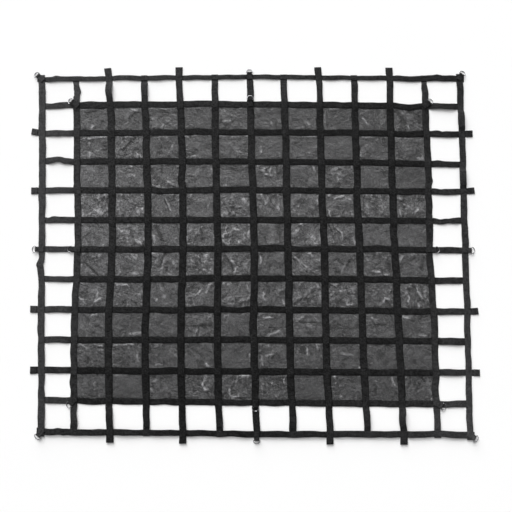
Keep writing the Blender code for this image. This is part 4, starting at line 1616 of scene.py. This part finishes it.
def mesh_height(spot, row, col, folds):
    """How far the mesh stands off the floor at a place, how pale it is painted there, with
    painted highlights on its ridges and pinches and painted shade in its troughs, and how
    restless it lies."""
    pale = panel_pale(row, col)
    free = ease_off_straps(row, col)
    restless = min(CALM + FOLD_UNREST * sum(abs(fold.strength) for fold in folds), 1.0)
    if free <= 0:
        return MESH_LEVEL, pale, restless
    draw = spot / FOLD_STRAY_SPAN
    stray = Vector((noise.noise(draw), noise.noise(draw + UP), 0)) * FOLD_STRAY
    fold = sum(felt(each, spot + stray) for each in folds)
    wrinkle, pinch = crumple(spot)
    height = PUCKER_MEAN + PUCKER_SWING * noise.noise(spot / PUCKER_SPAN) * restless
    height += (CRUMPLE * wrinkle + PINCH * pinch) * restless
    # Painted highlights on ridges and pinches, and painted shade in troughs.
    pale += (fold if fold > 0 else fold * TROUGH_SHADE) + pinch * restless * PINCH_HIGHLIGHT
    return max(MESH_LEVEL + (height + FOLD_HEIGHT * fold) * free, MESH_LOWEST), pale, restless


def mesh_panel(material):
    """The sheet sewn under the inner cells: flat under every strap, puckered inside each cell."""
    cols = mesh_lines(MESH_COLS_PER_CELL, COL_PITCH)
    rows = mesh_lines(MESH_ROWS_PER_CELL, ROW_PITCH)
    cells = folds_by_cell()
    points, spots, pales, unrest = [], [], [], []
    for row in rows:
        for col in cols:
            spot = place(row, col)
            folds = cells.get((int(row), int(col)), ())
            height, pale, restless = mesh_height(spot, row, col, folds)
            points.append(spot + UP * height)
            spots.append(((col - MIDDLE) * COL_PITCH, (MIDDLE - row) * ROW_PITCH))
            pales.append(pale)
            unrest.append(restless)
    wide = len(cols)
    faces = []
    for r in range(len(rows) - 1):
        for c in range(wide - 1):
            a = r * wide + c
            faces.append((a, a + wide, a + wide + 1, a + 1))
    made = mesh_object("mesh_cloth", points, faces, material)
    made.data.shade_smooth()
    lay_uv(made, spots)
    # The pale carries the folds' painted highlights and shade as well as the panel's tone.
    paint(made, "pale", pales)
    paint(made, "unrest", unrest)
    return made


# ---------------------------------------------------------------------------------------------
# Rings and the loops that hold them.

LOOP_WRAP_STEPS = 12


def heading_frame(ring):
    """A ring's crossing, and the level directions out along its heading and across it."""
    angle = math.radians(ring.heading)
    outward = Vector((math.cos(angle), math.sin(angle), 0))
    return place(ring.row, ring.col), outward, outward.cross(UP)


def loop_base(ring):
    """The underside of a ring's loop, which lies on top of the straps at the crossing."""
    top = vertical_height(ring.col, ring.row) + WEB_THICK
    return top + PIECE_GAP + stand(ring.row, ring.col)


def bar_height(ring):
    """How high a ring's straight bar lies, inside its loop."""
    return loop_base(ring) + LOOP_THICK + LOOP_INNER_RADIUS


def webbing_loop(ring, material):
    """Two layers sewn on the crossing: the lower one runs flat out under the ring's bar, and
    the upper one comes round the bar and down onto it."""
    spot, outward, sideways = heading_frame(ring)
    low = loop_base(ring) + LOOP_THICK / 2
    high = low + LOOP_THICK + LOOP_LAYER_GAP
    middle = bar_height(ring)
    bar = ring.bar_mm * MM
    radius = LOOP_INNER_RADIUS + LOOP_THICK / 2
    path = [(-LOOP_TAIL, low, UP)]
    for step in range(LOOP_WRAP_STEPS + 1):
        angle = math.pi * (step / LOOP_WRAP_STEPS - 0.5)
        inward = outward * -math.cos(angle) - UP * math.sin(angle)
        out = bar + radius * math.cos(angle)
        path.append((out, middle + radius * math.sin(angle), inward))
    path += [(bar - LOOP_SPREAD, high, -UP), (-LOOP_TAIL, high, -UP)]
    # The loop takes the painted light and shade of its vertical strap at the crossing.
    tone = strap_grey(VERTICAL, ring.col, ring.row)
    stations = []
    for out, height, normal in path:
        point = spot + outward * out + UP * height
        stations.append(Station(point, normal, sideways, LOOP_WIDTH, tone))
    return webbing_strip(f"webbing_loop_{ring.name}", filled(stations), LOOP_THICK, material)


def ring_outline():
    """The D-ring's wire line in its own plane, as (sideways, outward), bar at outward 0."""
    flat = RING_HALF_WIDTH - RING_CORNER
    corner, arc = [], []
    for step in range(1, CORNER_STEPS):
        angle = math.pi / 2 * step / CORNER_STEPS
        out = RING_CORNER * (1 - math.cos(angle))
        corner.append((flat + RING_CORNER * math.sin(angle), out))
    for step in range(RING_ARC_STEPS + 1):
        angle = math.pi * step / RING_ARC_STEPS
        out = RING_SHOULDER + RING_HALF_WIDTH * math.sin(angle)
        arc.append((RING_HALF_WIDTH * math.cos(angle), out))
    other_corner = [(-side, out) for side, out in reversed(corner)]
    return [(-flat, 0.0), (flat, 0.0)] + corner + arc + other_corner


def line_object(name, lines, closed):
    """A mesh of bare edges along these lines of points, for a tree to work on."""
    points, edges = [], []
    for line in lines:
        start = len(points)
        points += [tuple(p) for p in line]
        edges += [(start + k, start + k + 1) for k in range(len(line) - 1)]
        if closed:
            edges.append((len(points) - 1, start))
    mesh = bpy.data.meshes.new(name)
    mesh.from_pydata(points, edges, [])
    made = bpy.data.objects.new(name, mesh)
    bpy.context.scene.collection.objects.link(made)
    return made


class Tree:
    """A Geometry Nodes tree with named inputs, built node by node."""

    def __init__(self, name, sizes):
        self.tree = bpy.data.node_groups.new(name, "GeometryNodeTree")
        interface = self.tree.interface
        interface.new_socket("Geometry", in_out="INPUT", socket_type="NodeSocketGeometry")
        self.identifiers = {}
        for key, kind in sizes.items():
            socket = interface.new_socket(key, in_out="INPUT", socket_type=kind)
            self.identifiers[key] = socket.identifier
        interface.new_socket("Geometry", in_out="OUTPUT", socket_type="NodeSocketGeometry")
        self.start = self.tree.nodes.new("NodeGroupInput")

    def size(self, key):
        """The socket of a named input."""
        return self.start.outputs[key]

    def node(self, kind, settings=None, sockets=None, output=0):
        """Any node: its type, its settings first, then the values or links of its sockets."""
        made = self.tree.nodes.new(kind)
        for key, value in (settings or {}).items():
            setattr(made, key, value)
        for key, value in (sockets or {}).items():
            if isinstance(value, bpy.types.NodeSocket):
                self.tree.links.new(value, made.inputs[key])
            else:
                made.inputs[key].default_value = value
        return made.outputs[output]

    def finish(self, geometry):
        """Ends the tree: real faces in place of instances, and the piece's material."""
        real = self.node("GeometryNodeRealizeInstances", None, {"Geometry": geometry})
        sockets = {"Geometry": real, "Material": self.size("Material")}
        done = self.node("GeometryNodeSetMaterial", None, sockets)
        self.tree.links.new(done, self.tree.nodes.new("NodeGroupOutput").inputs[0])

    def made_from(self, name, source, values):
        """Runs the tree on a source object and keeps the outcome as a plain mesh object."""
        modifier = source.modifiers.new("tree", "NODES")
        modifier.node_group = self.tree
        for key, value in values.items():
            modifier[self.identifiers[key]] = value
        seen = source.evaluated_get(bpy.context.evaluated_depsgraph_get())
        mesh = bpy.data.meshes.new_from_object(seen)
        bpy.data.objects.remove(source)
        made = bpy.data.objects.new(name, mesh)
        mesh.name = name
        bpy.context.scene.collection.objects.link(made)
        return made


def wire_tree():
    """Sweeps round wire along a closed line of edges."""
    sizes = {
        "Wire Radius": "NodeSocketFloat",
        "Wire Sides": "NodeSocketInt",
        "Material": "NodeSocketMaterial",
    }
    tree = Tree("round_wire", sizes)
    curve = tree.node("GeometryNodeMeshToCurve", None, {0: tree.size("Geometry")})
    circle = tree.node(
        "GeometryNodeCurvePrimitiveCircle",
        None,
        {"Resolution": tree.size("Wire Sides"), "Radius": tree.size("Wire Radius")},
    )
    wire = tree.node("GeometryNodeCurveToMesh", None, {0: curve, 1: circle})
    tree.finish(tree.node("GeometryNodeSetShadeSmooth", None, {0: wire}))
    return tree


def stitch_tree():
    """Sets stitches of thread end to end along lines of edges."""
    sizes = {
        "Stitch Pitch": "NodeSocketFloat",
        "Stitch Size": "NodeSocketVector",
        "Material": "NodeSocketMaterial",
    }
    tree = Tree("stitch_rows", sizes)
    curve = tree.node("GeometryNodeMeshToCurve", None, {0: tree.size("Geometry")})
    rows = tree.node(
        "GeometryNodeResampleCurve",
        {"mode": "LENGTH"},
        {"Curve": curve, "Length": tree.size("Stitch Pitch")},
    )
    way = tree.node("GeometryNodeInputTangent")
    turn = tree.node("FunctionNodeAlignRotationToVector", {"axis": "X"}, {"Vector": way})
    thread = tree.node("GeometryNodeMeshIcoSphere", None, {"Radius": 1.0, "Subdivisions": 1})
    stitches = tree.node(
        "GeometryNodeInstanceOnPoints",
        None,
        {
            "Points": rows,
            "Instance": thread,
            "Rotation": turn,
            "Scale": tree.size("Stitch Size"),
        },
    )
    tree.finish(stitches)
    return tree


def d_ring(tree, ring, material):
    """A D-ring of round wire, its bar in the loop and its round drooping towards the floor."""
    spot, outward, sideways = heading_frame(ring)
    tilt = math.radians(ring.droop)
    tilt += stand(ring.row, ring.col) / (RING_SHOULDER + RING_HALF_WIDTH)
    out_in_plane = outward * math.cos(tilt) - UP * math.sin(tilt)
    bar = spot + outward * ring.bar_mm * MM + UP * bar_height(ring)
    line = [bar + sideways * side + out_in_plane * out for side, out in ring_outline()]
    values = {"Wire Radius": WIRE_RADIUS, "Wire Sides": WIRE_SIDES, "Material": material}
    source = line_object("ring_line", [line], True)
    return tree.made_from(f"steel_ring_{ring.name}", source, values)


# ---------------------------------------------------------------------------------------------
# Sewing.


def box_and_cross(middle, along, across, long, wide):
    """The lines of a sewn box, so long and so wide, with a cross in it."""
    corners = []
    for side, end in ((-1, -1), (1, -1), (1, 1), (-1, 1)):
        corners.append(middle + across * side * wide / 2 + along * end * long / 2)
    a, b, c, d = corners
    return [[a, b], [b, c], [c, d], [d, a], [a, c], [b, d]]


def crossing_seams():
    """A box and cross through every crossing that has no loop on it."""
    ringed = {(ring.row, ring.col) for ring in RINGS}
    seams = []
    for row in range(STRAPS_EACH_WAY):
        for col in range(STRAPS_EACH_WAY):
            if (row, col) in ringed:
                continue
            under = row in (0, LAST) and goes_under_border(col)
            base = horizontal_height(row, col) if under else vertical_height(col, row)
            spot = place(row, col) + UP * (base + WEB_THICK + CROWN + stand(row, col))
            along = (place(row + SEAM_AIM, col) - place(row - SEAM_AIM, col)).normalized()
            across = (place(row, col + SEAM_AIM) - place(row, col - SEAM_AIM)).normalized()
            seams += box_and_cross(spot, along, across, BOX_ALONG, BOX_ACROSS)
    return seams


def loop_seams():
    """A square box and cross through each loop, near its tail."""
    seams = []
    for ring in RINGS:
        spot, outward, sideways = heading_frame(ring)
        top = loop_base(ring) + 2 * LOOP_THICK + LOOP_LAYER_GAP + CROWN
        out = LOOP_BOX_FROM_TAIL + LOOP_BOX / 2 - LOOP_TAIL
        middle = spot + UP * top + outward * out
        seams += box_and_cross(middle, outward, sideways, LOOP_BOX, LOOP_BOX)
    return seams


def tab_seams():
    """Two rows of stitching across each folded tab."""
    seams = []
    top = 2 * WEB_THICK + TAB_LAYER_GAP + CROWN
    for number in TAB_STRAPS:
        for kind in (VERTICAL, HORIZONTAL):
            for at, inward, end in zip((0, LAST), (1, -1), strap_ends(kind, number)):
                here = place(*kind.grid(number, at))
                back = place(*kind.grid(number, at + inward * SEAM_AIM))
                swing = Matrix.Rotation(math.radians(end.turn), 3, "Z")
                outward = swing @ (here - back).normalized()
                half = outward.cross(UP) * TAB_SEAM / 2
                level = UP * (top + stand(*kind.grid(number, at)))
                for out in (TAB_RETURN + TAB_SEAM_FROM_TAIL, end.reach - TAB_SEAM_FROM_FOLD):
                    middle = here + outward * out + level
                    seams.append([middle - half, middle + half])
    return seams


def sewing(tree, name, seams, material):
    """All stitches along these seams, as one piece."""
    size = Vector((STITCH_LENGTH / 2, STITCH_RADIUS, STITCH_RADIUS))
    values = {"Stitch Pitch": STITCH_PITCH, "Stitch Size": size, "Material": material}
    made = tree.made_from(name, line_object("seam_lines", seams, False), values)
    made.data.shade_smooth()
    return made


# ---------------------------------------------------------------------------------------------
# Floor, light and camera.


def soft_light(name, strength, spread, towards):
    """A broad even light that shines one way: its strength, its width in degrees, and its way."""
    lamp = bpy.data.lights.new(name, "SUN")
    lamp.energy = strength
    lamp.angle = math.radians(spread)
    light = bpy.data.objects.new(name, lamp)
    light.rotation_mode = "QUATERNION"
    light.rotation_quaternion = Vector(towards).to_track_quat("-Z", "Y")
    bpy.context.scene.collection.objects.link(light)


def studio():
    """A white floor, two broad soft lights from the far left, and a pale room all round."""
    signs = ((-1, -1), (1, -1), (1, 1), (-1, 1))
    corners = [Vector((x, y, 0)) * FLOOR_HALF for x, y in signs]
    floor = mesh_object("floor", corners, [(0, 1, 2, 3)], floor_finish())
    world = bpy.data.worlds.new("pale_room")
    world.use_nodes = True
    glow = world.node_tree.nodes["Background"].inputs
    glow["Color"].default_value = (1, 1, 1, 1)
    glow["Strength"].default_value = ROOM_STRENGTH
    bpy.context.scene.world = world
    for name, strength, spread, towards in LIGHTS:
        soft_light(name, strength, spread, towards)
    bpy.context.scene.view_settings.view_transform = "Standard"


def camera():
    """The photograph's view, from above and a little from the near side."""
    lens = bpy.data.cameras.new("camera")
    lens.lens = CAMERA_LENS
    lens.shift_x, lens.shift_y = CAMERA_SHIFT
    lens.clip_end = CAMERA_REACH
    made = bpy.data.objects.new("camera", lens)
    back = Vector((0, -math.sin(CAMERA_TILT), math.cos(CAMERA_TILT)))
    made.location = GRID_MIDDLE + back * CAMERA_DISTANCE
    made.rotation_euler = (CAMERA_TILT, 0, 0)
    bpy.context.scene.collection.objects.link(made)
    bpy.context.scene.camera = made


# ---------------------------------------------------------------------------------------------
# The dressed net.


def stands_for(made, slot, *nodes):
    """A piece that rides on the net and replaces these solids. Its slot is not used."""
    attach(made, BODY)
    if nodes:
        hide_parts(*nodes)


def dress():
    """Makes every piece with its finish, and says what it rides on and what it stands for."""
    webbing = webbing_finish()
    steel = steel_finish()
    thread = thread_finish()
    panel = mesh_panel(mesh_finish())
    stands_for(panel, "mesh_cloth", "mesh_panel")
    for number in range(STRAPS_EACH_WAY):
        for kind in (HORIZONTAL, VERTICAL):
            laid = strap(kind, number, webbing)
            stands_for(laid, "webbing", f"strap_{kind.letter}{number:02d}")
    wire = wire_tree()
    for ring in RINGS:
        stands_for(webbing_loop(ring, webbing), "webbing", f"loop_{ring.name}")
        stands_for(d_ring(wire, ring, steel), "ring_steel", f"ring_{ring.name}")
    stitches = stitch_tree()
    rows = {"crossing": crossing_seams(), "loop": loop_seams(), "tab": tab_seams()}
    for what, seams in rows.items():
        stands_for(sewing(stitches, f"{what}_stitches", seams, thread), "webbing")


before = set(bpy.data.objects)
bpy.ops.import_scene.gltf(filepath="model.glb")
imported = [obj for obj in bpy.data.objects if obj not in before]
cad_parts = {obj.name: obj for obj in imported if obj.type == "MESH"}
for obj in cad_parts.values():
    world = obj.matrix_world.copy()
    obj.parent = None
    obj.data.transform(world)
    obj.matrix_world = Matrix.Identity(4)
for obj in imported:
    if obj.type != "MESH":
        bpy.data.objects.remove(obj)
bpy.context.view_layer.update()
studio()
camera()
dress()
